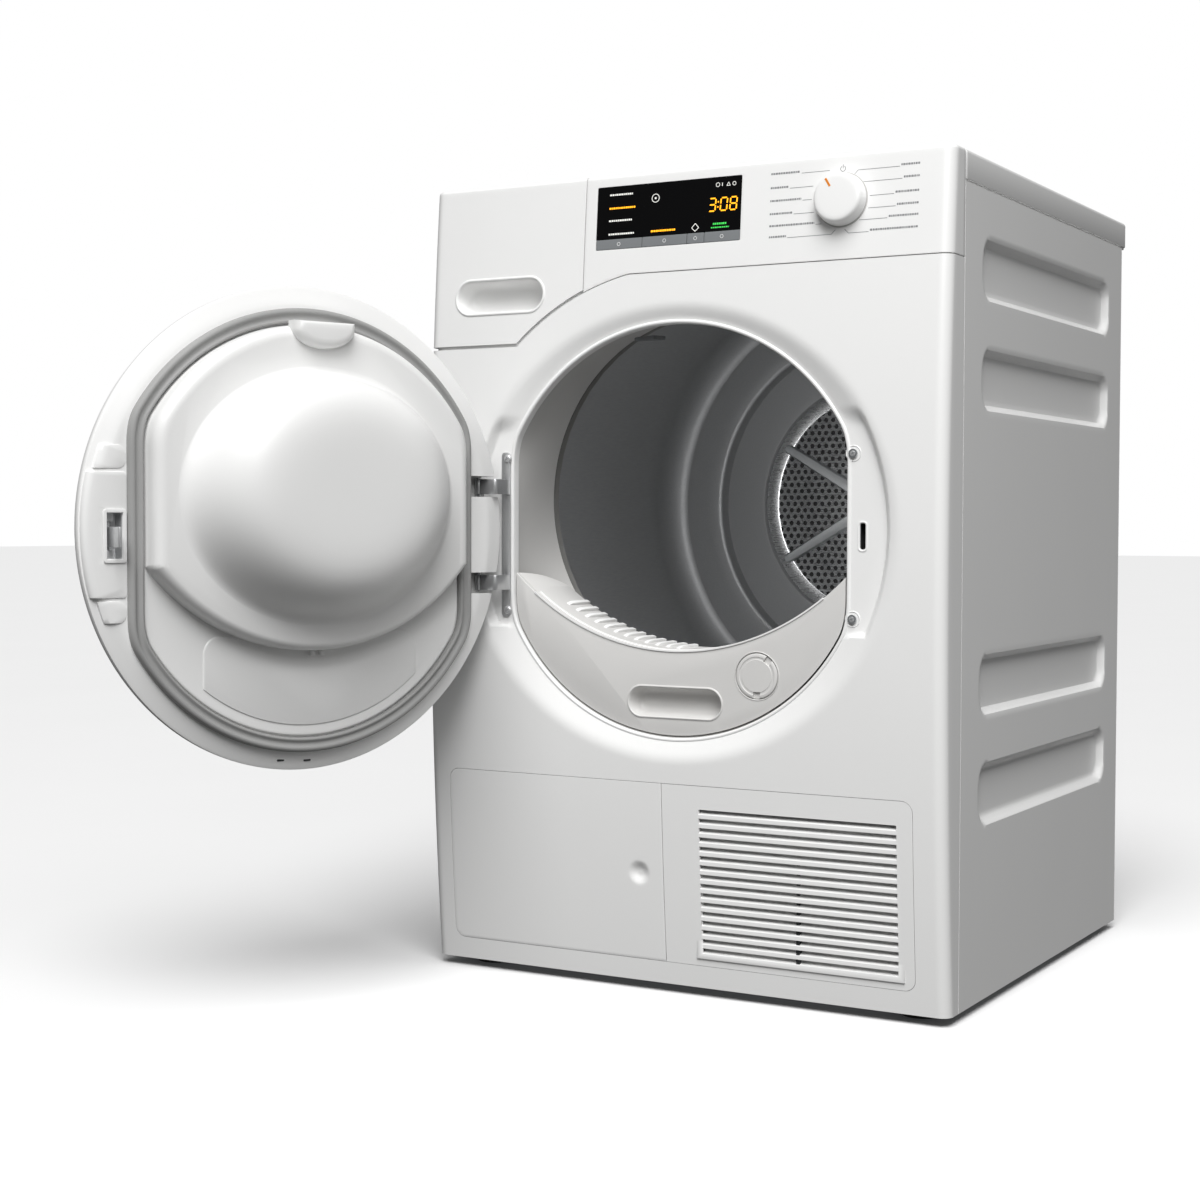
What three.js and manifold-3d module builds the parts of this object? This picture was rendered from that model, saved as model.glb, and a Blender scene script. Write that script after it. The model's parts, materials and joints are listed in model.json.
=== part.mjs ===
// Front-loading heat-pump clothes dryer, built as an assembly of separate pieces.
// Millimetres. X runs to the right, Y to the back, Z up. The origin is on the floor,
// under the middle of the cabinet. The door stands open on its left-hand hinge.
import * as THREE from "three";
import { mergeVertices } from "three/addons/utils/BufferGeometryUtils.js";
import Module from "manifold-3d";

// ---------------------------------------------------------------- overall sizes
const width = 596;
const height = 850;
const depth = 614; // worktop: front crown to rear edge
const topThickness = 31.5;
const returnDepth = 47; // front crown back to the side panels' front edge
const rearInset = 19; // the worktop overhangs the rear panel by this
const skirtZ = 10; // lower edge of the panels
const cornerRadius = 12;
const frontLean = 21.51; // the front is a shallow arc whose foot falls back by this

// ---------------------------------------------------------------- walls and clearances
const gap = 0.3; // between pieces that touch
const sheet = 1.5;
const plastic = 3;
const seam = 1; // joint line between front pieces
const groove = 3.5; // finger groove under the tank front

const halfWidth = width / 2;
const crownY = -depth / 2;
const rearY = depth / 2;
const seamY = crownY + returnDepth;
const panelRearY = rearY - rearInset;
const topZ = height - topThickness;

// ---------------------------------------------------------------- door, ring and mouth
const doorZ = height - 368;
const doorRadius = 240;
const crownZ = doorZ - 32; // the arc's foremost height
const frontRadius = (crownZ - skirtZ) ** 2 / (2 * frontLean);
const doorStand = 22; // closed door's front, ahead of the crown
const rimStand = 15.3; // hinge axis and door rim, ahead of the crown
const rimInset = 19.8; // hinge axis, in from the door's edge
const openAngle = 111.3;
const dishClearance = 8;
const floorDepth = 12;
const mouthInset = 27;
const mouthRadius = doorRadius - mouthInset;
const mouthHalfWidth = doorRadius - 47;
const mouthZ = doorZ - 2;
const mouthLowZ = mouthZ - mouthRadius;
const mouthHighZ = mouthZ + mouthRadius;
const floorY = crownY + floorDepth;
const hingeX = rimInset - doorRadius;
const hingeY = crownY - rimStand;
const doorFrontY = crownY - doorStand;
const doorBackY = crownY - 4.7; // rear edge of the door's outer shell
const ringFlatY = crownY + 2.7; // inner face of the door's ring
const sealFaceY = floorY - 1;
const earHeight = 16;
const earUpperZ = doorZ + 37;
const earLowerZ = doorZ - 65;
const pinRadius = 2.1;
const knuckleRadius = 3.6;
const latchX = doorRadius - 31;
const latchZ = doorZ - 7.5;

// ---------------------------------------------------------------- drum
const drumZ = doorZ + 32;
const drumRadius = 286;
const drumRimRadius = 202;
const drumRimY = crownY + 114;
const drumWallY = panelRearY - 50; // front face of the recessed rear wall's step
const discY = panelRearY - 27;
const discRadius = 152;
const drumSheet = 1.6;
const spokes = 6;
const hubRadius = 35;
const shaftRadius = 8;

// ---------------------------------------------------------------- front pieces
const fasciaLineZ = height - 105;
const tankLineZ = height - 174;
const tankSideX = -105.5;
const jointRadius = doorRadius + 28;
const displayBox = { x0: -92, x1: 75, z0: height - 78, z1: height - 12 };
const knobX = 184;
const knobZ = height - 46;
const knobRadius = 26;
const knobHeight = 15.5;
const plinth = { x0: -272, x1: 265, z0: 33, z1: 221, split: -9.5, radius: 12 };
const louvres = { count: 16, pitch: 9.65, slot: 5, x0: 33, x1: 248, top: 196.5 };
const tankGrip = { x0: -263, x1: -155, z0: height - 136, z1: height - 102, depth: 25 };

// ---------------------------------------------------------------- drive and air parts
const motorX = 200;
const motorZ = 130;
const motorRadius = 58;
const beltY = crownY + 197;
const beltWidth = 12;
const beltThickness = 2.4;
const pulleyRadius = 14;
const idlerRadius = 16;
const rollerRadius = 30;
const rollerAngle = 30; // each side of straight down
const rollerY = crownY + 162;
const fanX = 165;
const fanZ = 116;
const fanRadius = 58;

// ---------------------------------------------------------------- looks
const look = (color, roughness, metalness) =>
  new THREE.MeshStandardMaterial({ color, roughness, metalness });
const enamel = look(0xf3f4f4, 0.35, 0);
const whitePlastic = look(0xf1f2f2, 0.4, 0);
const greyPlastic = look(0xd2d1ce, 0.45, 0);
const darkPlastic = look(0x2b2d2f, 0.5, 0);
const glass = look(0x08090a, 0.08, 0);
const rubber = look(0x8b8c8c, 0.8, 0);
const blackRubber = look(0x1c1c1c, 0.85, 0);
const felt = look(0xb9b4a8, 0.95, 0);
const zinc = look(0x9fa3a5, 0.4, 0.9);
const drumSteel = look(0x6a6b6c, 0.35, 0.85);
const chrome = look(0xc9cccd, 0.15, 1);
const castAluminium = look(0xa9acae, 0.5, 0.8);
const boardGreen = look(0x2f6b45, 0.6, 0);

// ---------------------------------------------------------------- solids
const wasm = await Module();
wasm.setup();

// A closed three.js geometry as a solid, with its faces turned outwards.
function toSolid(geometry) {
  geometry.deleteAttribute("normal");
  geometry.deleteAttribute("uv");
  const merged = mergeVertices(geometry, 1e-4);
  const index = merged.index.array;
  const triangles = [];
  for (let i = 0; i < index.length; i += 3) {
    const [a, b, c] = index.slice(i, i + 3);
    if (a !== b && b !== c && c !== a) triangles.push(a, b, c);
  }
  const vertProperties = merged.attributes.position.array;
  const build = (list) =>
    new wasm.Manifold(
      new wasm.Mesh({ numProp: 3, vertProperties, triVerts: new Uint32Array(list) }),
    );
  const solid = build(triangles);
  return solid.volume() > 0 ? solid : build(triangles.reverse());
}

const join = (...solids) => solids.reduce((a, b) => a.add(b));
const cut = (solid, ...tools) => tools.reduce((a, b) => a.subtract(b), solid);
const common = (...solids) => solids.reduce((a, b) => a.intersect(b));

function block(x0, x1, y0, y1, z0, z1) {
  const box = new THREE.BoxGeometry(x1 - x0, y1 - y0, z1 - z0);
  return toSolid(box.translate((x0 + x1) / 2, (y0 + y1) / 2, (z0 + z1) / 2));
}

// Round bars along Y and along Z.
function rodY(radius, y0, y1, x, z, sides = 16) {
  const rod = new THREE.CylinderGeometry(radius, radius, y1 - y0, sides);
  return toSolid(rod.translate(x, (y0 + y1) / 2, z));
}
function rodZ(radius, z0, z1, x, y, sides = 12) {
  const rod = new THREE.CylinderGeometry(radius, radius, z1 - z0, sides);
  return toSolid(rod.rotateX(Math.PI / 2).translate(x, y, (z0 + z1) / 2));
}

// A closed profile of [radius, y] points turned about an axis along Y.
function turned(profile, x, z, sides = 32) {
  const points = profile.map(([r, y]) => new THREE.Vector2(r, y));
  points.push(points[0].clone());
  return toSolid(new THREE.LatheGeometry(points, sides).translate(x, 0, z));
}

// A shape drawn in x and z, drawn out along Y.
function prismY(shape, y0, y1, curveSegments = 4) {
  const options = { depth: y1 - y0, bevelEnabled: false, curveSegments };
  const body = new THREE.ExtrudeGeometry(shape, options);
  return toSolid(body.rotateX(Math.PI / 2).translate(0, y1, 0));
}

// A shape drawn in y and z, drawn out along X.
function prismX(shape, x0, x1, curveSegments = 2) {
  const options = { depth: x1 - x0, bevelEnabled: false, curveSegments };
  const body = new THREE.ExtrudeGeometry(shape, options);
  const axes = new THREE.Matrix4().makeBasis(
    new THREE.Vector3(0, 1, 0),
    new THREE.Vector3(0, 0, 1),
    new THREE.Vector3(1, 0, 0),
  );
  return toSolid(body.applyMatrix4(axes).translate(x0, 0, 0));
}

function polygon(points) {
  return new THREE.Shape(points.map(([a, b]) => new THREE.Vector2(a, b)));
}

function roundedRect(a0, a1, b0, b1, r) {
  const shape = new THREE.Shape();
  shape.absarc(a1 - r, b0 + r, r, -Math.PI / 2, 0, false);
  shape.absarc(a1 - r, b1 - r, r, 0, Math.PI / 2, false);
  shape.absarc(a0 + r, b1 - r, r, Math.PI / 2, Math.PI, false);
  shape.absarc(a0 + r, b0 + r, r, Math.PI, Math.PI * 1.5, false);
  return shape;
}

// The outline round two circles, as a belt lies round two pulleys.
function beltOutline([x1, z1], r1, [x2, z2], r2) {
  const along = Math.atan2(z2 - z1, x2 - x1);
  const spread = Math.acos((r1 - r2) / Math.hypot(x2 - x1, z2 - z1));
  const shape = new THREE.Shape();
  shape.absarc(x1, z1, r1, along + spread, along - spread + 2 * Math.PI, false);
  shape.absarc(x2, z2, r2, along - spread, along + spread, false);
  return shape;
}

// Rings of [x, z] points with as many points each, joined along Y into one closed body.
function loft(rings, ys) {
  const count = rings[0].length;
  const positions = [];
  const point = ([x, z], y) => [x, y, z];
  const triangle = (a, b, c) => positions.push(...a, ...b, ...c);
  rings.slice(1).forEach((ring, k) => {
    for (let i = 0; i < count; i++) {
      const j = (i + 1) % count;
      const a = point(rings[k][i], ys[k]);
      const b = point(rings[k][j], ys[k]);
      const c = point(ring[j], ys[k + 1]);
      const d = point(ring[i], ys[k + 1]);
      triangle(a, b, c);
      triangle(a, c, d);
    }
  });
  [0, rings.length - 1].forEach((k) => {
    const ring = rings[k];
    const middle = [
      ring.reduce((sum, p) => sum + p[0], 0) / count,
      ring.reduce((sum, p) => sum + p[1], 0) / count,
    ];
    for (let i = 0; i < count; i++) {
      const a = point(ring[i], ys[k]);
      const b = point(ring[(i + 1) % count], ys[k]);
      const c = point(middle, ys[k]);
      if (k === 0) triangle(b, a, c);
      else triangle(a, b, c);
    }
  });
  const geometry = new THREE.BufferGeometry();
  geometry.setAttribute("position", new THREE.Float32BufferAttribute(positions, 3));
  return toSolid(geometry);
}

const ringAngles = Array.from({ length: 32 }, (_, i) => (i * Math.PI) / 16);
const circleRing = (r, x, z, flat = 1) =>
  ringAngles.map((t) => [x + r * Math.cos(t), z + r * flat * Math.sin(t)]);
// A circle with its left and right sides cut straight.
const cutCircleRing = (r, half, z) =>
  ringAngles.map((t) => [
    Math.max(-half, Math.min(half, r * Math.cos(t))),
    z + r * Math.sin(t),
  ]);

// ---------------------------------------------------------------- the scene graph
const dryer = new THREE.Group();

// Adds a named mesh to a group; pivot is the group's own origin in the dryer's frame.
function addMesh(group, name, solid, material, pivot = new THREE.Vector3()) {
  const data = solid.getMesh();
  const shared = new THREE.BufferGeometry();
  shared.setAttribute("position", new THREE.BufferAttribute(data.vertProperties, 3));
  shared.setIndex(new THREE.BufferAttribute(data.triVerts, 1));
  const geometry = shared.toNonIndexed().translate(-pivot.x, -pivot.y, -pivot.z);
  geometry.computeVertexNormals();
  const mesh = new THREE.Mesh(geometry, material);
  mesh.name = name;
  group.add(mesh);
}

// ---------------------------------------------------------------- the arched front
const frontDrop = (z) => (z - crownZ) ** 2 / (2 * frontRadius);
const frontY = (z) => crownY + frontDrop(z);

// Bends a straight front to the arc; the edge on the seam stays where it is.
function archFront(geometry) {
  const p = geometry.attributes.position;
  for (let i = 0; i < p.count; i++) {
    if (p.getY(i) < seamY - 1) p.setY(i, p.getY(i) + frontDrop(p.getZ(i)));
  }
  return geometry;
}

function frontExtrude(shape, z0, z1) {
  const steps = Math.ceil((z1 - z0) / 110);
  const options = { depth: z1 - z0, steps, bevelEnabled: false, curveSegments: 2 };
  const body = new THREE.ExtrudeGeometry(shape, options).translate(0, 0, z0);
  return toSolid(archFront(body));
}

// Everything behind the front's face, back to the seam.
function frontBody(z0, z1, inset = 0) {
  const r = cornerRadius - inset;
  const half = halfWidth - inset;
  const cornerY = crownY + cornerRadius;
  const shape = new THREE.Shape();
  shape.moveTo(-half, seamY);
  shape.lineTo(-half, cornerY);
  shape.absarc(r - half, cornerY, r, Math.PI, Math.PI * 1.5, false);
  shape.absarc(half - r, cornerY, r, Math.PI * 1.5, Math.PI * 2, false);
  shape.lineTo(half, seamY);
  return frontExtrude(shape, z0, z1);
}

// The front's skin, wrapped round the sides to the seam.
function frontSkin(z0, z1, thickness) {
  const inner = common(
    frontBody(z0 - 1, z1 + 1, thickness),
    block(-width, width, crownY - 50, seamY + 1, z0 - 2, z1 + 2),
  );
  const open = block(
    thickness - halfWidth,
    halfWidth - thickness,
    seamY - 5,
    seamY + 5,
    z0 - 2,
    z1 + 2,
  );
  return cut(frontBody(z0, z1), inner, open);
}

// The joint line under the fascia and the tank front: level, then round the door, then level.
function jointLine(offset) {
  const r = jointRadius + offset;
  const angleAt = (z) => Math.PI - Math.asin(Math.min(1, (z - doorZ) / r));
  const start = angleAt(fasciaLineZ + offset);
  const end = angleAt(tankLineZ + offset);
  const arc = Array.from({ length: 13 }, (_, i) => {
    const a = start + ((end - start) * i) / 12;
    return [r * Math.cos(a), doorZ + r * Math.sin(a)];
  });
  return [
    [halfWidth + 5, fasciaLineZ + offset],
    [arc[0][0] + 0.5, fasciaLineZ + offset],
    ...arc,
    [arc[12][0] - 12, tankLineZ + offset],
    [-halfWidth - 5, tankLineZ + offset],
  ];
}

function belowJoint(offset) {
  const low = [
    [-halfWidth - 5, 0],
    [halfWidth + 5, 0],
  ];
  return prismY(polygon([...low, ...jointLine(offset)]), crownY - 10, seamY + 5);
}

const plinthRect = (inset, x0 = plinth.x0, x1 = plinth.x1) =>
  roundedRect(x0 + inset, x1 - inset, plinth.z0 + inset, plinth.z1 - inset, plinth.radius);

// The dished ring that the closed door sinks into; grow makes the same dish thicker.
function dish(grow) {
  const floor = floorY + grow;
  const front = crownY - 5;
  const topR = doorRadius + dishClearance;
  const slope = (topR - (doorRadius - 24)) / floorDepth;
  const cone = turned(
    [
      [0, front],
      [topR + slope * 5 + grow * 3, front],
      [doorRadius - 24 + grow, floor],
      [0, floor],
    ],
    0,
    doorZ,
  );
  const land = common(
    turned(
      [
        [0, front],
        [doorRadius + 5 + grow, front],
        [doorRadius - 5 + grow, floor],
        [0, floor],
      ],
      0,
      doorZ,
    ),
    block(-width, width, front - 1, floor + 1, mouthZ - 100 - grow, mouthZ + 120 + grow),
  );
  return join(cone, land);
}

const mouthRing = (offset) =>
  cutCircleRing(mouthRadius + offset, mouthHalfWidth + offset, mouthZ);
const mouthHole = (offset, y0, y1) =>
  loft([mouthRing(offset), mouthRing(offset)], [y0, y1]);

const screwX = mouthHalfWidth + 6;
const screwZs = [mouthZ - 85, mouthZ + 77];
const latchSlot = (grow, y0, y1) =>
  block(latchX - 3 - grow, latchX + 3 + grow, y0, y1, latchZ - 11.5 - grow, latchZ + 14.5 + grow);

function makeFrontPanel() {
  const skin = common(frontSkin(skirtZ, fasciaLineZ, sheet), belowJoint(0));
  const ring = common(dish(sheet), frontBody(skirtZ, fasciaLineZ));
  const floorHoles = [-screwX, screwX].flatMap((x) =>
    screwZs.map((z) => rodY(3, floorY - 1, floorY + 3, x, z, 8)),
  );
  const panel = cut(
    join(skin, ring),
    dish(0),
    mouthHole(0, floorY - 5, floorY + 5),
    prismY(plinthRect(0), crownY - 5, seamY + 5, 5),
    latchSlot(0, floorY - 2, floorY + 4),
    ...floorHoles,
  );
  addMesh(dryer, "front_panel", panel, enamel);
}

function makeFascia() {
  const low = tankLineZ - 5;
  const side = block(tankSideX + seam / 2, halfWidth + 1, crownY - 10, seamY + 5, low, height + 1);
  const skin = cut(frontSkin(low, height, plastic), belowJoint(seam));
  const flange = frontBody(height - plastic, height);
  const d = displayBox;
  const fascia = cut(
    common(join(skin, flange), side),
    block(d.x0, d.x1, crownY - 5, seamY - 5, d.z0, d.z1),
    knobRod(5, -8, 8, 12),
  );
  addMesh(dryer, "fascia", fascia, whitePlastic);

  const pane = common(
    frontSkin(d.z0 + gap, d.z1 - gap, 2.4),
    block(d.x0 + gap, d.x1 - gap, crownY - 5, seamY - 5, d.z0, d.z1),
  );
  addMesh(dryer, "display_glass", pane, glass);
}

// ---------------------------------------------------------------- programme knob
const knobTilt = -Math.atan((knobZ - crownZ) / frontRadius);
const knobPivot = new THREE.Vector3(knobX, frontY(knobZ), knobZ);

// A rod on the knob's tilted axis; y0 and y1 run from the front's face, back is positive.
function knobRod(radius, y0, y1, sides) {
  const rod = new THREE.CylinderGeometry(radius, radius, y1 - y0, sides);
  rod.translate(0, (y0 + y1) / 2, 0).rotateX(knobTilt);
  return toSolid(rod.translate(knobPivot.x, knobPivot.y, knobPivot.z));
}

function makeKnob() {
  const group = new THREE.Group();
  group.position.copy(knobPivot);
  group.rotation.x = knobTilt;
  dryer.add(group);
  const body = turned(
    [
      [0, -0.8],
      [knobRadius, -0.8],
      [knobRadius, -2.5],
      [knobRadius - 2, 3 - knobHeight],
      [knobRadius - 5, -knobHeight],
      [0, -knobHeight],
    ],
    0,
    0,
    28,
  );
  const shaft = rodY(3, -2, 12, 0, 0, 10);
  addMesh(group, "programme_knob", join(body, shaft), whitePlastic);
}

function makeControlBoard() {
  const y = frontY(knobZ) + 15;
  const d = displayBox;
  const board = block(d.x0 - 6, halfWidth - 24, y, y + 1.6, d.z0 - 6, d.z1);
  const encoder = block(knobX - 8, knobX + 8, y - 7, y + 0.5, knobZ - 8, knobZ + 8);
  const driver = block(d.x0 + 8, d.x1 - 8, y - 5, y + 0.5, d.z0 + 8, d.z1 - 12);
  const relays = block(100, 140, y + 1, y + 18, knobZ - 15, knobZ + 10);
  const body = cut(join(board, encoder, driver, relays), knobRod(3.5, 0, 13, 10));
  addMesh(dryer, "control_board", body, boardGreen);
}

// ---------------------------------------------------------------- condensate tank
const tankBackY = seamY + 455;
const tankX0 = -halfWidth + 14;
const tankX1 = tankSideX - 6.5;
const tankZ0 = height - 160;
const tankZ1 = topZ - 6.5;

function tankSection(inset, y0, y1) {
  return cut(
    block(tankX0 + inset, tankX1 - inset, y0, y1, tankZ0 + inset, tankZ1 - inset),
    rodY(drumRadius + 7 + inset, y0 - 1, y1 + 1, 0, drumZ, 32),
  );
}

function makeTank() {
  const group = new THREE.Group();
  dryer.add(group);
  const low = tankLineZ - 5;
  const side = block(-halfWidth - 1, tankSideX - seam / 2, crownY - 10, seamY + 5, low, height + 1);
  const skin = cut(frontSkin(low, height, plastic), belowJoint(groove));
  const g = tankGrip;
  const faceY = frontY((g.z0 + g.z1) / 2);
  const gripR = (g.z1 - g.z0) / 2;
  const pocket = roundedRect(g.x0, g.x1, g.z0, g.z1, gripR - 0.01);
  const pocketWall = roundedRect(g.x0 - 2, g.x1 + 2, g.z0 - 2, g.z1 + 2, gripR + 1.99);
  const lugs = [tankX0 + 20, tankX1 - 40].map((x) =>
    block(x, x + 20, frontY(tankZ1) + 1.5, seamY - gap, tankZ1 - 30, tankZ1 - 10),
  );
  const shell = common(join(skin, frontBody(height - plastic, height)), side);
  const front = cut(
    join(shell, prismY(pocketWall, faceY + 1.5, faceY + g.depth + 2), ...lugs),
    prismY(pocket, faceY - 5, faceY + g.depth),
  );
  addMesh(group, "tank_front", front, whitePlastic);

  const y0 = seamY;
  const wallThickness = 2.5;
  const container = cut(
    tankSection(0, y0, tankBackY),
    tankSection(wallThickness, y0 + wallThickness, tankBackY - wallThickness),
    rodZ(14, tankZ1 - 10, tankZ1 + 5, tankX0 + 60, tankBackY - 40),
  );
  addMesh(group, "tank_container", container, greyPlastic);
}

// A fixed sleeve round the container, open at the front and along the drum.
function makeTankTray() {
  const y0 = seamY + 70;
  const y1 = tankBackY + 6;
  const clearance = 1.2;
  const outer = block(
    tankX0 - clearance - 2,
    tankX1 + clearance + 2,
    y0,
    y1,
    tankZ0 + 20,
    tankZ1 + clearance + 2,
  );
  const inner = block(
    tankX0 - clearance,
    tankX1 + clearance,
    y0 - 1,
    y1 - 2,
    tankZ0 - 1,
    tankZ1 + clearance,
  );
  const drumClear = rodY(drumRadius + 5, y0 - 1, y1 + 1, 0, drumZ, 32);
  const filler = rodZ(10, tankZ1 - 1, tankZ1 + 10, tankX0 + 60, tankBackY - 40);
  addMesh(dryer, "tank_tray", cut(outer, inner, drumClear, filler), greyPlastic);
}

// ---------------------------------------------------------------- plinth
function plinthPiece(x0, x1, thickness) {
  const inset = seam / 2;
  const outline = prismY(plinthRect(inset), crownY - 5, seamY, 5);
  const skin = frontSkin(plinth.z0 - 5, plinth.z1 + 5, thickness);
  return common(skin, outline, block(x0, x1, crownY - 5, seamY, 0, plinth.z1 + 5));
}

// The flap turns about the outer corner of its left edge, on a line that leans with the front.
const flapMiddleZ = (plinth.z0 + plinth.z1) / 2;
const flapPivot = new THREE.Vector3(plinth.x0 + seam / 2, frontY(flapMiddleZ), flapMiddleZ);

function makePlinthFlap() {
  const group = new THREE.Group();
  group.position.copy(flapPivot);
  dryer.add(group);
  const face = plinthPiece(-halfWidth, plinth.split - seam / 2, plastic);
  const catchX = plinth.split - 14;
  const catchTab = block(catchX, catchX + 4, crownY + 13, crownY + 38, flapMiddleZ - 9, flapMiddleZ + 5);
  addMesh(group, "plinth_flap", join(face, catchTab), enamel, flapPivot);
}

function makeGrille() {
  const face = plinthPiece(plinth.split + seam / 2, halfWidth, plastic);
  const slots = Array.from({ length: louvres.count }, (_, i) => {
    const z = louvres.top - i * louvres.pitch;
    return block(louvres.x0, louvres.x1, crownY - 5, seamY, z - louvres.slot, z);
  });
  const post = block(138, 142, crownY + 18, crownY + 24, plinth.z0 + 8, plinth.z1 - 8);
  const ties = [louvres.top + 4, louvres.top - louvres.count * louvres.pitch - 4].map((z) =>
    block(138, 142, crownY + 10, crownY + 24, z - 2, z + 2),
  );
  const clear = common(join(post, ...ties), frontBody(plinth.z0, plinth.z1));
  addMesh(dryer, "grille_panel", join(cut(face, ...slots), clear), enamel);
}

// ---------------------------------------------------------------- cabinet panels
const recessBands = [height - 140, height - 249, height - 553, height - 663];
const recess = { y0: seamY + 55, y1: panelRearY - 53, height: 61, depth: 8 };

function makeSidePanel(name, side) {
  const x = (a) => side * (halfWidth - a);
  const slab = (a, b, y0, y1, z0, z1) =>
    block(Math.min(x(a), x(b)), Math.max(x(a), x(b)), y0, y1, z0, z1);
  const band = (grow, a, b) =>
    recessBands.map((z) => {
      const r = recess.height / 2 - 8;
      const shape = roundedRect(
        recess.y0 - grow,
        recess.y1 + grow,
        z - grow,
        z + recess.height + grow,
        r,
      );
      return prismX(shape, Math.min(x(a), x(b)), Math.max(x(a), x(b)));
    });
  const y0 = seamY + gap;
  const y1 = panelRearY - sheet - gap;
  const z1 = topZ - gap;
  const panel = cut(
    join(
      slab(0, sheet, y0, y1, skirtZ, z1),
      slab(0, 8, y0, y0 + sheet, skirtZ + 60, z1 - 5),
      slab(0, 8, y1 - sheet, y1, skirtZ + 60, z1 - 5),
      ...band(0, 0.5, recess.depth + sheet),
    ),
    ...band(-sheet, -1, recess.depth),
  );
  addMesh(dryer, name, panel, enamel);
}

function makeRearPanel() {
  const y0 = panelRearY - sheet;
  const z1 = topZ - gap;
  const vents = Array.from({ length: 9 }, (_, i) =>
    block(-220, -100, y0 - 1, panelRearY + 1, 300 + i * 14, 305 + i * 14),
  );
  const panel = cut(
    block(-halfWidth, halfWidth, y0, panelRearY, skirtZ, z1),
    ...vents,
    rodY(15, y0 - 5, panelRearY + 5, inlet.x, inlet.z),
  );
  addMesh(dryer, "rear_panel", panel, enamel);
}

const inlet = { x: halfWidth - 78, z: height - 75 };

function makeMainsInlet() {
  const y0 = panelRearY - sheet;
  const body = cut(
    join(
      rodY(14.6, y0 - 12, panelRearY + 4, inlet.x, inlet.z),
      rodY(19, panelRearY + gap, panelRearY + 4, inlet.x, inlet.z),
    ),
    rodY(5, y0 - 20, panelRearY + 20, inlet.x, inlet.z, 12),
  );
  addMesh(dryer, "mains_inlet", body, darkPlastic);
}

function makeWorktop() {
  const shape = roundedRect(-halfWidth, halfWidth, seamY + gap, rearY, 2);
  const options = { depth: topThickness, bevelEnabled: false, curveSegments: 3 };
  const slab = new THREE.ExtrudeGeometry(shape, options).translate(0, 0, topZ);
  const hollow = block(
    22 - halfWidth,
    halfWidth - 22,
    seamY + 22,
    panelRearY - 22,
    topZ - 1,
    height - 14,
  );
  addMesh(dryer, "worktop", cut(toSolid(slab), hollow), enamel);
}

// ---------------------------------------------------------------- base and feet
const baseHalf = halfWidth - sheet - 1;
const baseY0 = crownY + 32;
const baseY1 = panelRearY - sheet - 1;
const baseFloorZ = 15;
const footPlaces = [
  ["left_front", 46 - halfWidth, seamY + 22],
  ["right_front", halfWidth - 46, seamY + 22],
  ["left_rear", 46 - halfWidth, panelRearY - 48],
  ["right_rear", halfWidth - 46, panelRearY - 48],
];
const footStem = 5;

function makeBaseTray() {
  const holes = footPlaces.map(([, x, y]) => rodZ(footStem + 0.5, 5, 60, x, y, 10));
  const bosses = footPlaces.map(([, x, y]) => rodZ(13, baseFloorZ - 1, 34, x, y, 12));
  const tray = cut(
    block(-baseHalf, baseHalf, baseY0, baseY1, baseFloorZ - 3, 60),
    block(3 - baseHalf, baseHalf - 3, baseY0 + 3, baseY1 - 3, baseFloorZ, 61),
  );
  const pad = rodZ(30, 6, baseFloorZ - 1, 0, 0, 20);
  addMesh(dryer, "base_tray", cut(join(tray, pad, ...bosses), ...holes), zinc);
}

function makeFeet() {
  footPlaces.forEach(([place, x, y]) => {
    const group = new THREE.Group();
    group.position.set(x, y, 0);
    dryer.add(group);
    const foot = join(
      rodZ(20, 0, 6, 0, 0, 16),
      rodZ(11, 5, 10.5, 0, 0, 6),
      rodZ(footStem, 9, 33, 0, 0, 10),
    );
    addMesh(group, "foot_" + place, foot, blackRubber);
  });
}

// ---------------------------------------------------------------- bulkheads, collar, seals
const bulkheadY = crownY + 102;
const collarRearY = bulkheadY - gap;
const collarRearRadius = drumRimRadius - 5;
const collarWall = 3;

function makeFrontBulkhead() {
  const half = halfWidth - 14;
  const y1 = bulkheadY + 2;
  const plate = cut(
    block(-half, half, bulkheadY, y1, 212, topZ - 6),
    rodY(drumRimRadius + 4, bulkheadY - 1, y1 + 1, 0, drumZ, 32),
    block(-half - 1, tankSideX, bulkheadY - 1, y1 + 1, tankZ0 - 6, topZ),
  );
  const legs = [-half, half - 14].map((x) => block(x, x + 14, bulkheadY, y1, baseFloorZ + gap, 214));
  const axles = rollerPlaces.map(([, x, z]) => rodY(5, y1 - 1, rollerY + 13, x, z, 12));
  addMesh(dryer, "front_bulkhead", join(plate, ...legs, ...axles), zinc);
}

// The ring between the door mouth and the drum's rim.
function collarBody(grow, y0, y1) {
  const whole = [mouthRing(grow), circleRing(collarRearRadius + grow, 0, drumZ)];
  const body = loft(whole, [floorY + sheet + gap, collarRearY]);
  return common(body, block(-width, width, y0, y1, 0, height));
}

function makeCollar() {
  const y0 = floorY + sheet;
  const outer = collarBody(collarWall, y0, collarRearY + 1);
  const rear = circleRing(collarRearRadius, 0, drumZ);
  const inner = loft(
    [mouthRing(0), mouthRing(0), rear, rear],
    [y0 - 2, floorY + sheet + gap, collarRearY, collarRearY + 2],
  );
  const airway = block(-60, 60, floorY + 30, collarRearY - 18, 0, mouthLowZ + 93);
  addMesh(dryer, "door_collar", cut(outer, inner, airway), greyPlastic);
}

function makeDrumSeal() {
  const front = turned(
    [
      [drumRimRadius - 4, bulkheadY + 2 + gap],
      [drumRimRadius + 12, bulkheadY + 2 + gap],
      [drumRimRadius + 12, drumRimY - 0.4],
      [drumRimRadius - 4, drumRimY - 0.4],
    ],
    0,
    drumZ,
    48,
  );
  addMesh(dryer, "drum_front_seal", front, felt);
}

const rearBulkheadY = panelRearY - 20;

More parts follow.
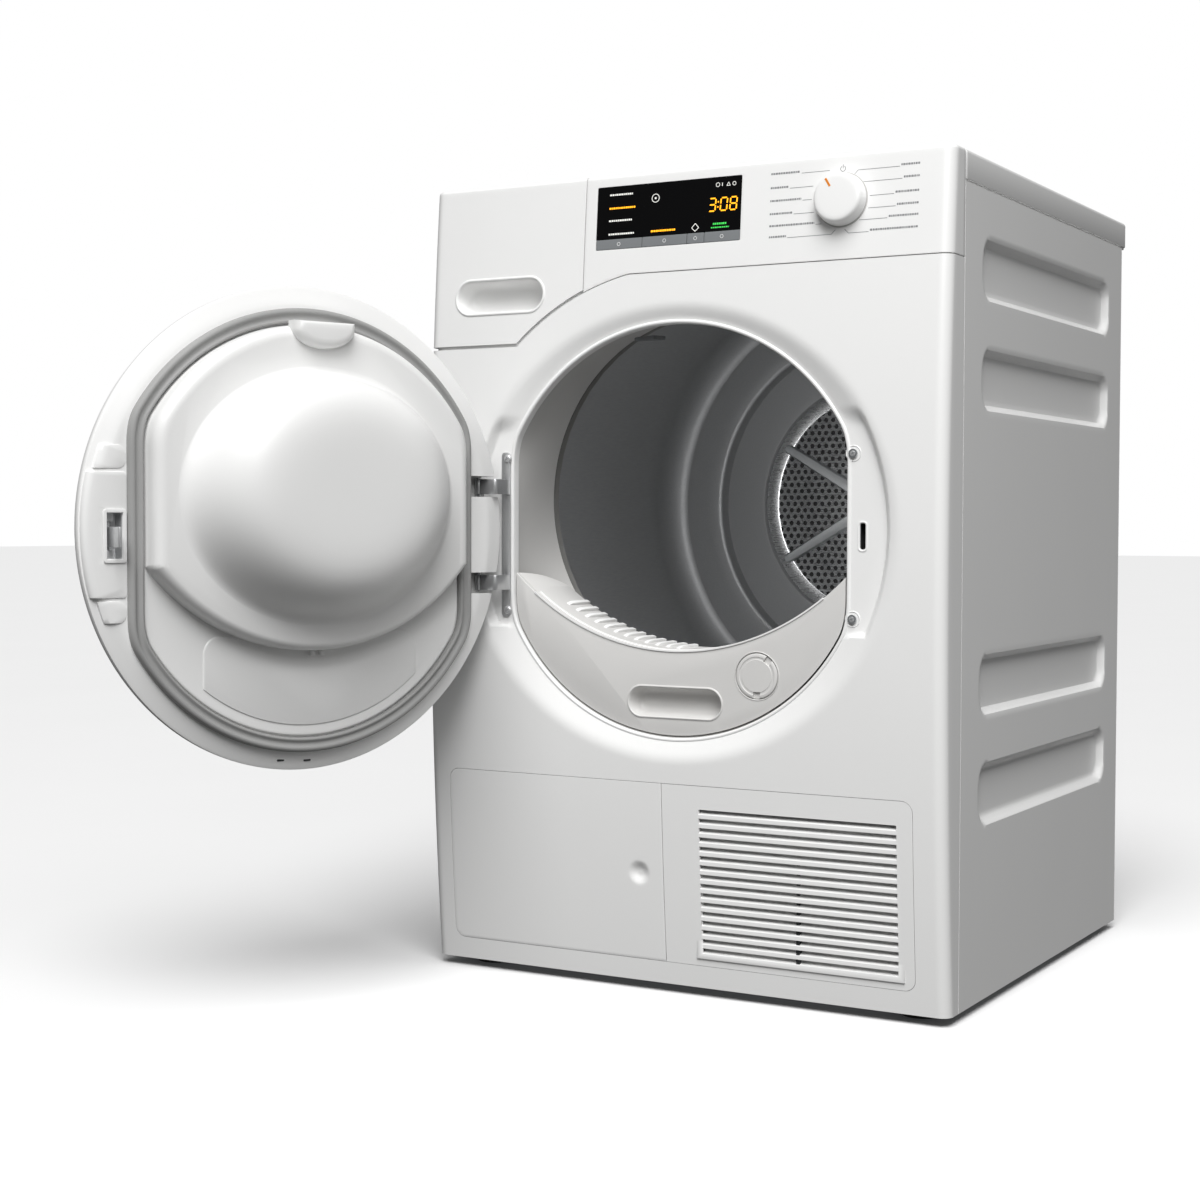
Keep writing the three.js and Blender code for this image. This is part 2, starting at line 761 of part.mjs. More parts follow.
function makeRearBulkhead() {
  const half = halfWidth - 6;
  const y1 = rearBulkheadY + sheet;
  const plate = cut(
    block(-half, half, rearBulkheadY, y1, baseFloorZ + gap, topZ - 6),
    rodY(discRadius - 4, rearBulkheadY - 1, y1 + 1, 0, drumZ, 32),
    block(chute.x0 + 2, chute.x1 - 2, rearBulkheadY - 1, y1 + 1, chute.z0 + 2, chute.z1 - 2),
  );
  const rubbingRing = turned(
    [
      [discRadius + 6, discY - 4],
      [discRadius + 18, discY - 4],
      [discRadius + 18, rearBulkheadY + 0.5],
      [discRadius + 6, rearBulkheadY + 0.5],
    ],
    0,
    drumZ,
    32,
  );
  addMesh(dryer, "rear_bulkhead", join(plate, rubbingRing), zinc);
}

const chute = { x0: 150, x1: 250, z0: 70, z1: 190 };
const bearingRadius = 16;

function makeRearAirDuct() {
  const y0 = rearBulkheadY + sheet + gap;
  const y1 = panelRearY - sheet - 1;
  const outline = (grow) =>
    beltOutline([0, drumZ], 162 + grow, [(chute.x0 + chute.x1) / 2, 130], 66 + grow);
  const shell = cut(
    prismY(outline(0), y0, y1, 8),
    prismY(outline(-2), y0 - 1, y1 - 2, 8),
  );
  const boss = rodY(bearingRadius + 5, y0 + 2, y1 - 1, 0, drumZ, 20);
  const seat = rodY(bearingRadius + gap, y0, y1 - 2, 0, drumZ, 20);
  addMesh(dryer, "rear_air_duct", cut(join(shell, boss), seat), greyPlastic);

  const bearing = cut(
    rodY(bearingRadius, y0 + 2, y1 - 2 - gap, 0, drumZ, 20),
    rodY(shaftRadius + gap, y0, y1, 0, drumZ, 16),
  );
  addMesh(dryer, "drum_bearing", bearing, zinc);
}

// ---------------------------------------------------------------- drum
function makeDrum() {
  const group = new THREE.Group();
  dryer.add(group);
  const r = drumRadius;
  const t = drumSheet;
  const rim = drumRimRadius;
  const rearLip = r - 28;
  const shell = turned(
    [
      [rim, drumRimY],
      [rim + 4, drumRimY],
      [rim + 6, drumRimY + 3],
      [r, drumRimY + 42],
      [r, drumWallY - 40],
      [r - 4, drumWallY - 22],
      [r - 13, drumWallY - 8],
      [rearLip, drumWallY],
      [rearLip, drumWallY - t],
      [r - 13 - t * 0.6, drumWallY - 8 - t],
      [r - 4 - t, drumWallY - 22 - t * 0.6],
      [r - t, drumWallY - 40],
      [r - t, drumRimY + 42 + t * 0.5],
      [rim + 6 - t, drumRimY + 3 + t],
      [rim, drumRimY + t],
    ],
    0,
    drumZ,
  );
  addMesh(group, "drum_shell", shell, drumSteel);

  const stepR = discRadius + 58;
  const rear = turned(
    [
      [rearLip - gap, drumWallY - t],
      [rearLip - gap, drumWallY],
      [stepR, drumWallY + 2],
      [stepR - 2, discY - 7],
      [discRadius + 3, discY - 7],
      [discRadius + gap, discY],
      [discRadius + gap, discY - t - 4],
      [discRadius + 2, discY - 7 - t],
      [stepR - 2 - t, discY - 7 - t],
      [stepR - t, drumWallY + 2 - t],
    ],
    0,
    drumZ,
  );
  addMesh(group, "drum_rear_wall", rear, drumSteel);

  const disc = cut(
    rodY(discRadius, discY - t, discY, 0, drumZ, 32),
    rodY(shaftRadius + gap, discY - 5, discY + 5, 0, drumZ, 16),
  );
  addMesh(group, "drum_perforated_disc", disc, drumSteel);

  const face = discY - t - gap;
  const arms = Array.from({ length: spokes }, (_, i) => {
    const angle = THREE.MathUtils.degToRad(30 + (i * 360) / spokes);
    const arm = new THREE.BoxGeometry(discRadius - 8, 3, 15);
    arm.translate((discRadius - 8) / 2, face - 1.5, 0).rotateY(-angle);
    return toSolid(arm.translate(0, 0, drumZ));
  });
  const hub = rodY(hubRadius, face - 6, face, 0, drumZ, 24);
  const shaft = rodY(shaftRadius, face - 1, panelRearY - sheet - 4, 0, drumZ, 16);
  addMesh(group, "drum_spider", join(hub, shaft, ...arms), castAluminium);
}

// ---------------------------------------------------------------- filter in the mouth
const crescentRadius = 270;
const crescentZ = mouthLowZ + 90 + crescentRadius;
const filterClearance = 2.5;
const filterGrip = { x: 5, z: mouthLowZ + 37, length: 108, height: 33, depth: 18 };
const capX = 95;
const capZ = mouthLowZ + 68;
const capRadius = 23;
const coverY = floorY + 2;

function filterSlice(inset, y0, y1) {
  const grow = -filterClearance - inset;
  return cut(
    loft(
      [mouthRing(grow), mouthRing(grow), circleRing(collarRearRadius + grow, 0, drumZ)],
      [coverY - 1, floorY + sheet, collarRearY],
    ).intersect(block(-width, width, y0, y1, 0, height)),
    rodY(crescentRadius, coverY - 5, collarRearY + 5, 0, crescentZ, 32),
  );
}

function makeFilter() {
  const group = new THREE.Group();
  dryer.add(group);
  const g = filterGrip;
  const half = g.length / 2;
  const r = g.height / 2;
  const slot = (grow) =>
    roundedRect(
      g.x - half - grow,
      g.x + half + grow,
      g.z - r - grow,
      g.z + r + grow,
      r + grow - 0.01,
    );
  const backY = coverY + g.depth;
  const cover = cut(
    join(
      filterSlice(0, coverY, coverY + 4),
      prismY(slot(2), coverY + 1, backY + 2),
      rodY(capRadius + 4, coverY + 1, coverY + 12, capX, capZ, 20),
    ),
    prismY(slot(0), coverY - 5, backY),
    rodY(capRadius + 0.6, coverY - 5, coverY + 9, capX, capZ, 20),
    rodY(5, coverY, coverY + 20, capX, capZ, 10),
  );
  addMesh(group, "filter_cover", cover, greyPlastic);

  const y0 = coverY + 4 + gap;
  const y1 = collarRearY - 6;
  const hollow = loft(
    [mouthRing(-5.5), mouthRing(-5.5), circleRing(collarRearRadius - 5.5, 0, drumZ)],
    [y0 - 1, floorY + sheet, collarRearY],
  );
  const cassette = cut(
    filterSlice(0, y0, y1),
    hollow.intersect(block(-width, width, y0 + 2.5, y1 - 2.5, 0, height)),
    prismY(slot(2.6), y0 - 5, backY + 2.6),
    rodY(capRadius + 5, y0 - 5, coverY + 13, capX, capZ, 20),
    block(-45, 45, floorY + 34, collarRearY - 22, 0, mouthLowZ + 73),
  );
  addMesh(group, "filter_cassette", cassette, whitePlastic);

  const capGroup = new THREE.Group();
  capGroup.position.set(capX, coverY, capZ);
  group.add(capGroup);
  const cap = cut(
    join(rodY(capRadius, -1, 4, 0, 0, 24), rodY(4.6, 3, 14, 0, 0, 10)),
    block(-4, 4, -2, 1.5, capRadius - 7, capRadius + 2),
    block(-4, 4, -2, 1.5, -capRadius - 2, 7 - capRadius),
  );
  addMesh(capGroup, "filter_cap", cap, greyPlastic);
}

// The duct that takes the air from the filter down to the heat exchangers.
function makeFilterDuct() {
  const y0 = frontY(240) + 14;
  const y1 = bulkheadY - 3;
  const top = mouthLowZ - collarWall - 2;
  const body = cut(
    block(-200, 62, y0, y1, 208, top),
    block(-198, 60, y0 + 2, y1 - 2, 210, top - 2),
    block(-55, 55, y0 + 20, y1 - 10, top - 5, top + 5),
    block(-190, -90, y0 + 12, y1 - 12, 200, 212),
  );
  addMesh(dryer, "filter_duct", body, greyPlastic);
}

// ---------------------------------------------------------------- door
const doorPivot = new THREE.Vector3(hingeX, hingeY, 0);
const sealOuter = { r: mouthRadius + 6.5, half: mouthHalfWidth + 1.2 };
const sealTaper = 4; // so the lip clears the dish's slope
const sealInner = { r: mouthRadius - 8, half: mouthHalfWidth - 13 };
const linerEdge = { r: mouthRadius - 10, half: mouthHalfWidth - 15 };

const ovalRing = (o, grow) => cutCircleRing(o.r + grow, o.half + grow, mouthZ);
const oval = (o, grow, y0, y1) => loft([ovalRing(o, grow), ovalRing(o, grow)], [y0, y1]);

const earSlots = (x0, x1, y0, y1, clearance) =>
  [earUpperZ, earLowerZ].map((z) =>
    block(x0, x1, y0, y1, z - clearance, z + earHeight + clearance),
  );

function makeDoorShell(group) {
  const r = doorRadius;
  const wallThickness = 2;
  const outerEdge = [
    [r - 18, doorFrontY],
    [r - 9, doorFrontY + 1.6],
    [r - 3, doorFrontY + 5.5],
    [r, doorFrontY + 11],
    [r, doorBackY],
  ];
  const innerEdge = [
    [r - 2.5, doorBackY],
    [r - 2.5, doorFrontY + 11.4],
    [r - 5, doorFrontY + 6.8],
    [r - 10, doorFrontY + 3.5],
    [r - 18.5, doorFrontY + wallThickness],
    [0, doorFrontY + wallThickness],
  ];
  const shell = turned([[0, doorFrontY], ...outerEdge, ...innerEdge], 0, doorZ);
  const slots = earSlots(-r - 5, -r + 25, doorFrontY + 2.7, doorBackY + 1, 3);
  addMesh(group, "door_outer_shell", cut(shell, ...slots), whitePlastic, doorPivot);
}

function makeDoorRing(group) {
  const r = doorRadius;
  const y = ringFlatY;
  const ring = turned(
    [
      [r, doorBackY + gap],
      [r - 19, y],
      [120, y],
      [120, y - 2.5],
      [r - 20, y - 2.5],
      [r - 8, doorBackY + gap],
    ],
    0,
    doorZ,
  );
  const body = cut(
    ring,
    oval(linerEdge, -4, y - 10, y + 10),
    block(latchX - 12.3, latchX + 8.3, y - 10, y + 10, latchZ - 22.8, latchZ + 24.8),
    ...earSlots(-r - 5, -mouthHalfWidth - 1, y - 20, y + 10, 3),
  );
  addMesh(group, "door_ring", body, whitePlastic, doorPivot);
}

function makeDoorSeal(group) {
  const y0 = ringFlatY + gap;
  const outer = loft(
    [ovalRing(sealOuter, 0), ovalRing(sealOuter, 0), ovalRing(sealOuter, -sealTaper)],
    [y0, sealFaceY - 3, sealFaceY],
  );
  const seal = cut(outer, oval(sealInner, 0, y0 - 1, sealFaceY + 1));
  addMesh(group, "door_seal", seal, rubber, doorPivot);
}

// The inner shell: a flat lower area, a raised upper part and the bulge that reaches into the drum.
const raisedY = ringFlatY + 28;
const bulgeY = crownY + 92;
const smileRadius = 230;
const smileZ = mouthLowZ + 95 + smileRadius;
const bulgeBase = mouthRadius - 63;
const bulgeTop = mouthRadius - 107;

function linerSolid(inset, y0) {
  const aboveSmile = rodY(smileRadius - inset, y0 - 1, raisedY + 5, 0, smileZ, 32);
  const raised = common(
    loft(
      [ovalRing(linerEdge, -inset), ovalRing(linerEdge, -inset), ovalRing(linerEdge, -inset - 6)],
      [y0, raisedY - 7 - inset, raisedY - inset],
    ),
    aboveSmile,
  );
  const bulge = loft(
    [
      circleRing(bulgeBase - inset, 0, drumZ, 0.82),
      circleRing(bulgeBase - 12 - inset, 0, drumZ, 0.82),
      circleRing(bulgeTop + 18 - inset, 0, drumZ + 4, 0.84),
      circleRing(bulgeTop - inset, 0, drumZ + 6, 0.86),
      circleRing(bulgeTop - 20 - inset, 0, drumZ + 6, 0.86),
    ],
    [
      raisedY - 3 - inset,
      raisedY + 8 - inset,
      bulgeY - 26 - inset,
      bulgeY - 8 - inset,
      bulgeY - inset,
    ],
  );
  return join(raised, bulge);
}

function makeDoorLiner(group) {
  const y = ringFlatY + gap;
  const plate = oval(linerEdge, 0, y, y + plastic);
  const scoop = common(
    prismY(roundedRect(-32, 32, mouthHighZ - 33, mouthHighZ - 6, 12), raisedY - 1, raisedY + 12, 5),
    collarBody(-4, crownY, crownY + 90),
  );
  const outer = join(plate, linerSolid(0, y), scoop);
  const liner = cut(outer, linerSolid(plastic, y - 5));
  addMesh(group, "door_liner", liner, whitePlastic, doorPivot);
}

function makeLatchHousing(group) {
  const y1 = ringFlatY + 2;
  const y0 = y1 - 18;
  const x0 = latchX - 12;
  const x1 = latchX + 8;
  const z0 = latchZ - 22.5;
  const z1 = latchZ + 24.5;
  const housing = cut(
    block(x0, x1, y0, y1, z0, z1),
    block(x0 + 2, x1 - 2, y0 + 2, y1 + 1, z0 + 2, z1 - 2),
  );
  const posts = [
    [z0 + 1, z0 + 9],
    [z1 - 9, z1 - 1],
  ].map(([a, b]) => block(latchX - 3, latchX + 3, y0 + 1, y1 - 6, a, b));
  const bore = rodZ(hookPin + 0.4, z0 + 2, z1 - 2, latchX, hookPivot.y, 10);
  addMesh(group, "door_latch_housing", cut(join(housing, ...posts), bore), zinc, doorPivot);
}

const hookPin = 1.6;
const hookPivot = new THREE.Vector3(latchX, ringFlatY - 9, 0);

function makeLatchHook(group) {
  const hookGroup = new THREE.Group();
  hookGroup.position.copy(hookPivot).sub(doorPivot);
  group.add(hookGroup);
  const z0 = latchZ - 9.5;
  const z1 = latchZ + 9.5;
  const tipY = floorY + 11;
  const outline = [
    [latchX - 2.3, hookPivot.y - 2.5],
    [latchX + 2.3, hookPivot.y - 2.5],
    [latchX + 2.3, tipY - 2],
    [latchX + 1, tipY],
    [latchX - 2.3, tipY - 4],
    [latchX - 2.3, tipY - 6],
    [latchX - 0.5, tipY - 6],
    [latchX - 0.5, hookPivot.y + 4],
    [latchX - 2.3, hookPivot.y + 2.5],
  ];
  const options = { depth: z1 - z0, bevelEnabled: false };
  const claw = new THREE.ExtrudeGeometry(polygon(outline), options).translate(0, 0, z0);
  const pin = rodZ(hookPin, latchZ - 19, latchZ + 21, latchX, hookPivot.y, 10);
  addMesh(hookGroup, "latch_hook", join(toSolid(claw), pin), zinc, hookPivot);
}

function makeHingeLeaf(group) {
  const z0 = earLowerZ + earHeight + 3;
  const z1 = earUpperZ - 3;
  const x1 = -mouthHalfWidth + 2;
  const leaf = cut(
    join(
      rodZ(knuckleRadius, z0, z1, hingeX, hingeY),
      block(hingeX, x1, hingeY - 2.2, hingeY + 0.3, z0, z1),
      block(x1 - 3, x1, hingeY - 1, ringFlatY - 2.5 - gap, z0, z1),
    ),
    rodZ(pinRadius + gap, z0 - 1, z1 + 1, hingeX, hingeY),
  );
  addMesh(group, "hinge_leaf", leaf, zinc, doorPivot);
}

function makeDoor() {
  const group = new THREE.Group();
  group.position.copy(doorPivot);
  group.rotation.z = THREE.MathUtils.degToRad(-openAngle);
  dryer.add(group);
  makeDoorShell(group);
  makeDoorRing(group);
  makeDoorSeal(group);
  makeDoorLiner(group);
  makeLatchHousing(group);
  makeLatchHook(group);
  makeHingeLeaf(group);
}

// The bracket on the ring's floor: two ears reach out, then sideways, to the pin.
function makeHingeBracket() {
  const x1 = -mouthHalfWidth - 3.5;
  const plateY = floorY - 1.7;
  const base = block(x1 - 10.5, x1, plateY, floorY - gap, screwZs[0] - 9, screwZs[1] + 9);
  const heads = screwZs.map((z) => rodY(4.5, plateY - 2.2, plateY + 0.5, -screwX, z, 12));
  const shanks = screwZs.map((z) => rodY(2.6, plateY, floorY + 6, -screwX, z, 8));
  const ears = [earUpperZ, earLowerZ].map((z) =>
    join(
      block(x1 - 3, x1, hingeY - 2, plateY + 0.5, z, z + earHeight),
      block(hingeX, x1, hingeY - 2, hingeY + 1, z, z + earHeight),
      rodZ(knuckleRadius, z, z + earHeight, hingeX, hingeY),
    ),
  );
  const bracket = cut(
    join(base, ...heads, ...shanks, ...ears),
    rodZ(pinRadius + gap, earLowerZ - 1, earUpperZ + earHeight + 1, hingeX, hingeY),
  );
  addMesh(dryer, "hinge_bracket", bracket, chrome);
  const pin = rodZ(pinRadius, earLowerZ - 1, earUpperZ + earHeight + 1, hingeX, hingeY, 12);
  addMesh(dryer, "hinge_pin", pin, zinc);
}

function makeLatchStrike() {
  const y0 = floorY + sheet + gap;
  const plate = block(
    mouthHalfWidth + 3.5,
    latchX + 14,
    y0,
    y0 + 2,
    screwZs[0] - 9,
    screwZs[1] + 9,
  );
  const heads = screwZs.map((z) => rodY(4.5, floorY - 2.6, floorY - gap, screwX, z, 12));
  const shanks = screwZs.map((z) => rodY(2.6, floorY - 1, y0 + 4, screwX, z, 8));
  const collarClear = collarBody(collarWall + gap, crownY, bulkheadY);
  const strike = cut(join(plate, ...heads, ...shanks), latchSlot(0, y0 - 1, y0 + 5), collarClear);
  addMesh(dryer, "latch_strike", strike, zinc);
}

// ---------------------------------------------------------------- belt drive
const pulleyPlace = [motorX, motorZ];
const drumPlace = [0, drumZ];
const beltGap = 1.1; // the faceted loop's flats still clear the drum

// A point on the belt's lower run and the direction square to it, away from the loop.
function lowerRun(share, offset) {
  const along = Math.atan2(motorZ - drumZ, motorX);
  const r1 = drumRadius + beltGap;
  const r2 = pulleyRadius + beltGap;
  const spread = Math.acos((r1 - r2) / Math.hypot(motorX, motorZ - drumZ));
  const out = along - spread;
  const at = (x, z, r) => [x + r * Math.cos(out), z + r * Math.sin(out)];
  const [ax, az] = at(0, drumZ, r1 + offset);
  const [bx, bz] = at(motorX, motorZ, r2 + offset);
  return [ax + (bx - ax) * share, az + (bz - az) * share];
}

const idlerPlace = lowerRun(0.7, beltThickness + beltGap + idlerRadius);
const tensionerPlace = lowerRun(0.62, beltThickness + idlerRadius + 42);

function makeBelt() {
  const y0 = beltY - beltWidth / 2;
  const loop = (grow) =>
    beltOutline(drumPlace, drumRadius + beltGap + grow, pulleyPlace, pulleyRadius + beltGap + grow);
  const belt = cut(
    prismY(loop(beltThickness), y0, y0 + beltWidth, 16),
    prismY(loop(0), y0 - 1, y0 + beltWidth + 1, 16),
  );
  addMesh(dryer, "drum_belt", belt, blackRubber);
}

function makeTensioner() {
  const [px, pz] = tensionerPlace;
  const [ix, iz] = idlerPlace;
  const armY = beltY + beltWidth / 2 + 3;
  const armGroup = new THREE.Group();
  armGroup.position.set(px, 0, pz);
  dryer.add(armGroup);
  const arm = cut(
    join(
      prismY(beltOutline([px, pz], 10, [ix, iz], 7), armY, armY + 4, 6),
      rodY(4, beltY - 8, armY + 1, ix, iz, 12),
    ),
    rodY(5.4, armY - 1, armY + 6, px, pz, 12),
  );
  addMesh(armGroup, "tensioner_arm", arm, zinc, new THREE.Vector3(px, 0, pz));

  const idlerGroup = new THREE.Group();
  idlerGroup.position.set(ix - px, 0, iz - pz);
  armGroup.add(idlerGroup);
  const idler = cut(
    rodY(idlerRadius, beltY - 7, beltY + 7, 0, 0, 24),
    rodY(4.4, beltY - 9, beltY + 9, 0, 0, 12),
  );
  addMesh(idlerGroup, "idler_pulley", idler, darkPlastic);
}

const motorY0 = beltY + 26;
const motorY1 = motorY0 + 118;
const blowerY0 = motorY1 + 16;
const blowerY1 = blowerY0 + 62;
const blowerRadius = 84;

function makeMotor() {
  const [px, pz] = tensionerPlace;
  const stator = join(
    rodY(motorRadius, motorY0, motorY1, motorX, motorZ, 28),
    block(motorX - 40, motorX + 40, motorY0 + 20, motorY1 - 20, baseFloorZ + gap, motorZ - 30),
    prismY(beltOutline([motorX, motorZ], 34, [px, pz], 14), motorY0 - 4, motorY0 + 1, 6),
    rodY(5, beltY + 6, motorY0, px, pz, 12),
  );
  const bore = rodY(6.5, motorY0 - 10, motorY1 + 5, motorX, motorZ, 12);
  addMesh(dryer, "drive_motor", cut(stator, bore), castAluminium);

  const rotorGroup = new THREE.Group();
  rotorGroup.position.set(motorX, 0, motorZ);
  dryer.add(rotorGroup);
  const shaft = rodY(6, beltY - 8, blowerY1 - 12, 0, 0, 12);
  const pulley = rodY(pulleyRadius, beltY - 7, beltY + 7, 0, 0, 20);
  addMesh(rotorGroup, "motor_rotor", join(shaft, pulley), zinc);

  const vanes = Array.from({ length: 12 }, (_, i) => {
    const vane = new THREE.BoxGeometry(26, 40, 2);
    vane.rotateY(0.6).translate(56, blowerY0 + 29, 0).rotateY((i * Math.PI) / 6);
    return toSolid(vane);
  });
  const backY = blowerY0 + 46;
  const wheel = cut(
    join(
      rodY(72, backY, backY + 3, 0, 0, 24),
      rodY(14, blowerY0 + 24, backY + 1, 0, 0, 16),
      ...vanes,
    ),
    rodY(6.3, blowerY0, blowerY1, 0, 0, 12),
  );
  addMesh(rotorGroup, "blower_impeller", wheel, darkPlastic);
}

function makeBlowerHousing() {
  const c = chute;
  const drumShaped = cut(
    join(
      rodY(blowerRadius, blowerY0, blowerY1, motorX, motorZ, 28),
      block(c.x0, c.x1, blowerY1 - 5, rearBulkheadY - gap, c.z0, c.z1),
      block(motorX - 50, motorX + 50, blowerY0 + 5, blowerY1 - 5, baseFloorZ + gap, 60),
    ),
    rodY(blowerRadius - 2.5, blowerY0 + 2.5, blowerY1 - 2.5, motorX, motorZ, 28),
    block(c.x0 + 2, c.x1 - 2, blowerY1 - 10, rearBulkheadY + 5, c.z0 + 2, c.z1 - 2),
    rodY(46, blowerY0 - 5, blowerY0 + 5, motorX, motorZ, 20),
  );
  addMesh(dryer, "blower_housing", drumShaped, darkPlastic);
}

const rollerPlaces = [
  ["left", -1],
  ["right", 1],
].map(([side, sign]) => {
  const angle = THREE.MathUtils.degToRad(rollerAngle);
  const reach = drumRadius + rollerRadius + gap;
  return [side, sign * reach * Math.sin(angle), drumZ - reach * Math.cos(angle)];
});

function makeRollers() {
  rollerPlaces.forEach(([side, x, z]) => {
    const group = new THREE.Group();
    group.position.set(x, rollerY, z);
    dryer.add(group);
    const roller = cut(rodY(rollerRadius, -10, 10, 0, 0, 24), rodY(5.4, -12, 12, 0, 0, 12));
    addMesh(group, "support_roller_" + side, roller, blackRubber);
  });
}

// ---------------------------------------------------------------- heat pump
function makeHeatPump() {
  const x0 = plinth.x0 + 12;
  const x1 = -68;
  const y0 = seamY - 12;
  const y1 = seamY + 372;
  const inner = { x0: x0 + 3, x1: x1 - 3, y0: y0 - 1, y1: y1 - 3 };
  const housing = cut(
    block(x0, x1, y0, y1, 36, 205),
    block(inner.x0, inner.x1, inner.y0, inner.y1, 39, 202),
    block(-188, -92, y0 + 2, y0 + 40, 200, 210),
    block(x1 - 5, x1 + 5, y1 - 60, y1 - 10, 60, 190),
  );
  addMesh(dryer, "heat_exchanger_housing", housing, greyPlastic);
  const core = (name, from, to) => {
    const blockOf = block(inner.x0 + 1, inner.x1 - 1, from, to, 39 + gap, 198);
    const slots = Array.from({ length: 8 }, (_, i) => {
      const x = inner.x0 + 16 + i * 21;
      return block(x, x + 5, from - 1, to + 1, 52, 186);
    });
    addMesh(dryer, name, cut(blockOf, ...slots), castAluminium);
  };
  core("evaporator", seamY + 60, seamY + 170);
  core("condenser", seamY + 190, seamY + 310);
}

function makeCompressor() {
  const x = 30;
  const y = panelRearY - 103;
  const can = new THREE.LatheGeometry(
    [
      [0, 0],
      [54, 0],
      [62, 12],
      [62, 150],
      [52, 174],
      [28, 186],
      [0, 188],
    ].map(([r, h]) => new THREE.Vector2(r, h)),
    36,
  );
  const body = toSolid(can.rotateX(Math.PI / 2).translate(x, y, 26));
  const bracket = block(x - 50, x + 50, y - 50, y + 50, baseFloorZ + gap, 28);
  addMesh(dryer, "compressor", join(body, bracket), darkPlastic);
}

function makeCondensatePump() {
  const y = panelRearY - 92;
  const sump = block(-150, -74, y - 32, y + 32, baseFloorZ + gap, 54);
  const can = rodZ(20, 50, 112, -112, y, 16);
  const spout = rodY(6, y - 60, y, -112, 84, 10);
  addMesh(dryer, "condensate_pump", join(sump, can, spout), darkPlastic);
}

function makeCoolingFan() {
  const y0 = crownY + 42;
  const shroud = cut(
    join(
      block(fanX - 76, fanX + 70, y0 + 22, y0 + 25, baseFloorZ + gap, fanZ + 76),
      rodY(fanRadius + 6, y0, y0 + 24, fanX, fanZ, 28),
    ),
    rodY(fanRadius + 3, y0 - 5, y0 + 40, fanX, fanZ, 28),
  );
  const struts = [0, 1, 2].map((i) => {
    const strut = new THREE.BoxGeometry(fanRadius + 6, 3, 6);
    strut.translate((fanRadius + 6) / 2, y0 + 23.5, 0).rotateY((i * 2 * Math.PI) / 3 + 0.4);
    return toSolid(strut.translate(fanX, 0, fanZ));
  });
  const can = rodY(19, y0 + 20, y0 + 36, fanX, fanZ, 16);
  const axle = rodY(3, y0 + 2, y0 + 24, fanX, fanZ, 10);
  addMesh(dryer, "cooling_fan_shroud", join(shroud, can, axle, ...struts), darkPlastic);

  const group = new THREE.Group();
  group.position.set(fanX, y0 + 10, fanZ);
  dryer.add(group);
  const blades = Array.from({ length: 7 }, (_, i) => {
    const blade = new THREE.BoxGeometry(fanRadius - 16, 2, 26);
    blade.rotateX(0.5).translate(fanRadius / 2 + 8, 0, 0).rotateY((i * 2 * Math.PI) / 7);
    return toSolid(blade);
  });
  const rotor = cut(join(rodY(18, -8, 9, 0, 0, 16), ...blades), rodY(3.4, -20, 20, 0, 0, 10));
  addMesh(group, "cooling_fan", rotor, darkPlastic);
}

// ---------------------------------------------------------------- assembly
makeFrontPanel();
makeFascia();
makeKnob();
makeControlBoard();
makeTank();
makeTankTray();
makePlinthFlap();
makeGrille();
makeSidePanel("side_panel_left", -1);
makeSidePanel("side_panel_right", 1);
makeRearPanel();
makeMainsInlet();
makeWorktop();
makeBaseTray();
makeFeet();
makeFrontBulkhead();
makeCollar();
makeDrumSeal();
makeRearBulkhead();
makeRearAirDuct();
makeDrum();
makeFilter();
makeFilterDuct();
makeDoor();
makeHingeBracket();
makeLatchStrike();
makeBelt();
makeTensioner();
makeMotor();
makeBlowerHousing();
makeRollers();
makeHeatPump();
makeCompressor();
makeCondensatePump();
makeCoolingFan();

export default dryer;
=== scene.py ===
# The looks of a front-loading clothes dryer: every part that shows is rebuilt as a fine mesh
# round the imported frame, and every part kept from the frame gets its own finish.
# Positions below are in millimetres in the frame's own axes; the mesh makers turn them to metres.
import json
import math
import bpy
import bmesh
from mathutils import Matrix, Vector


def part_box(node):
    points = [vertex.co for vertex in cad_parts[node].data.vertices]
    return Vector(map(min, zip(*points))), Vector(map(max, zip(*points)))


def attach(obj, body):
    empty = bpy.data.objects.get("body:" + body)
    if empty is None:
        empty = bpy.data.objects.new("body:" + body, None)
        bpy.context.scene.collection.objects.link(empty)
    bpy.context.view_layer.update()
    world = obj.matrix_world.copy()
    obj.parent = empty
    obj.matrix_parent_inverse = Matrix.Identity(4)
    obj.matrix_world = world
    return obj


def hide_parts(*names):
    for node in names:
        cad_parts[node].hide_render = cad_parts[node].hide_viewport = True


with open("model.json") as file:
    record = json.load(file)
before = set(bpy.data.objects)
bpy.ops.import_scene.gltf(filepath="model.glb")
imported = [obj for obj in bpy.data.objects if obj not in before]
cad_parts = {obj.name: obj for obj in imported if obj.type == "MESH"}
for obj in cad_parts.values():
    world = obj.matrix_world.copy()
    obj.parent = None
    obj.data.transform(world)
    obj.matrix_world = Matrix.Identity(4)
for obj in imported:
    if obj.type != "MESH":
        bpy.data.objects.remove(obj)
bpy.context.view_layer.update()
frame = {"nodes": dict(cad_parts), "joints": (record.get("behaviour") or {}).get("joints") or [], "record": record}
nodes = frame["nodes"]
MM = 0.001


# ------------------------------------------------------------------ driving dimensions
def node_box(name):
    low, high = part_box(name)
    return [v / MM for v in low], [v / MM for v in high]


PANEL_LOW, PANEL_HIGH = node_box("front_panel")
TOP_LOW, TOP_HIGH = node_box("worktop")
HALF = PANEL_HIGH[0]
SEAM_Y = PANEL_HIGH[1]
CROWN_Y = PANEL_LOW[1]
SKIRT_Z = PANEL_LOW[2]
TOP_Z = TOP_HIGH[2]
CROWN_Z = 450
FRONT_RADIUS = 4500
CORNER = 12
SHEET = 1.5
PLASTIC = 3.0

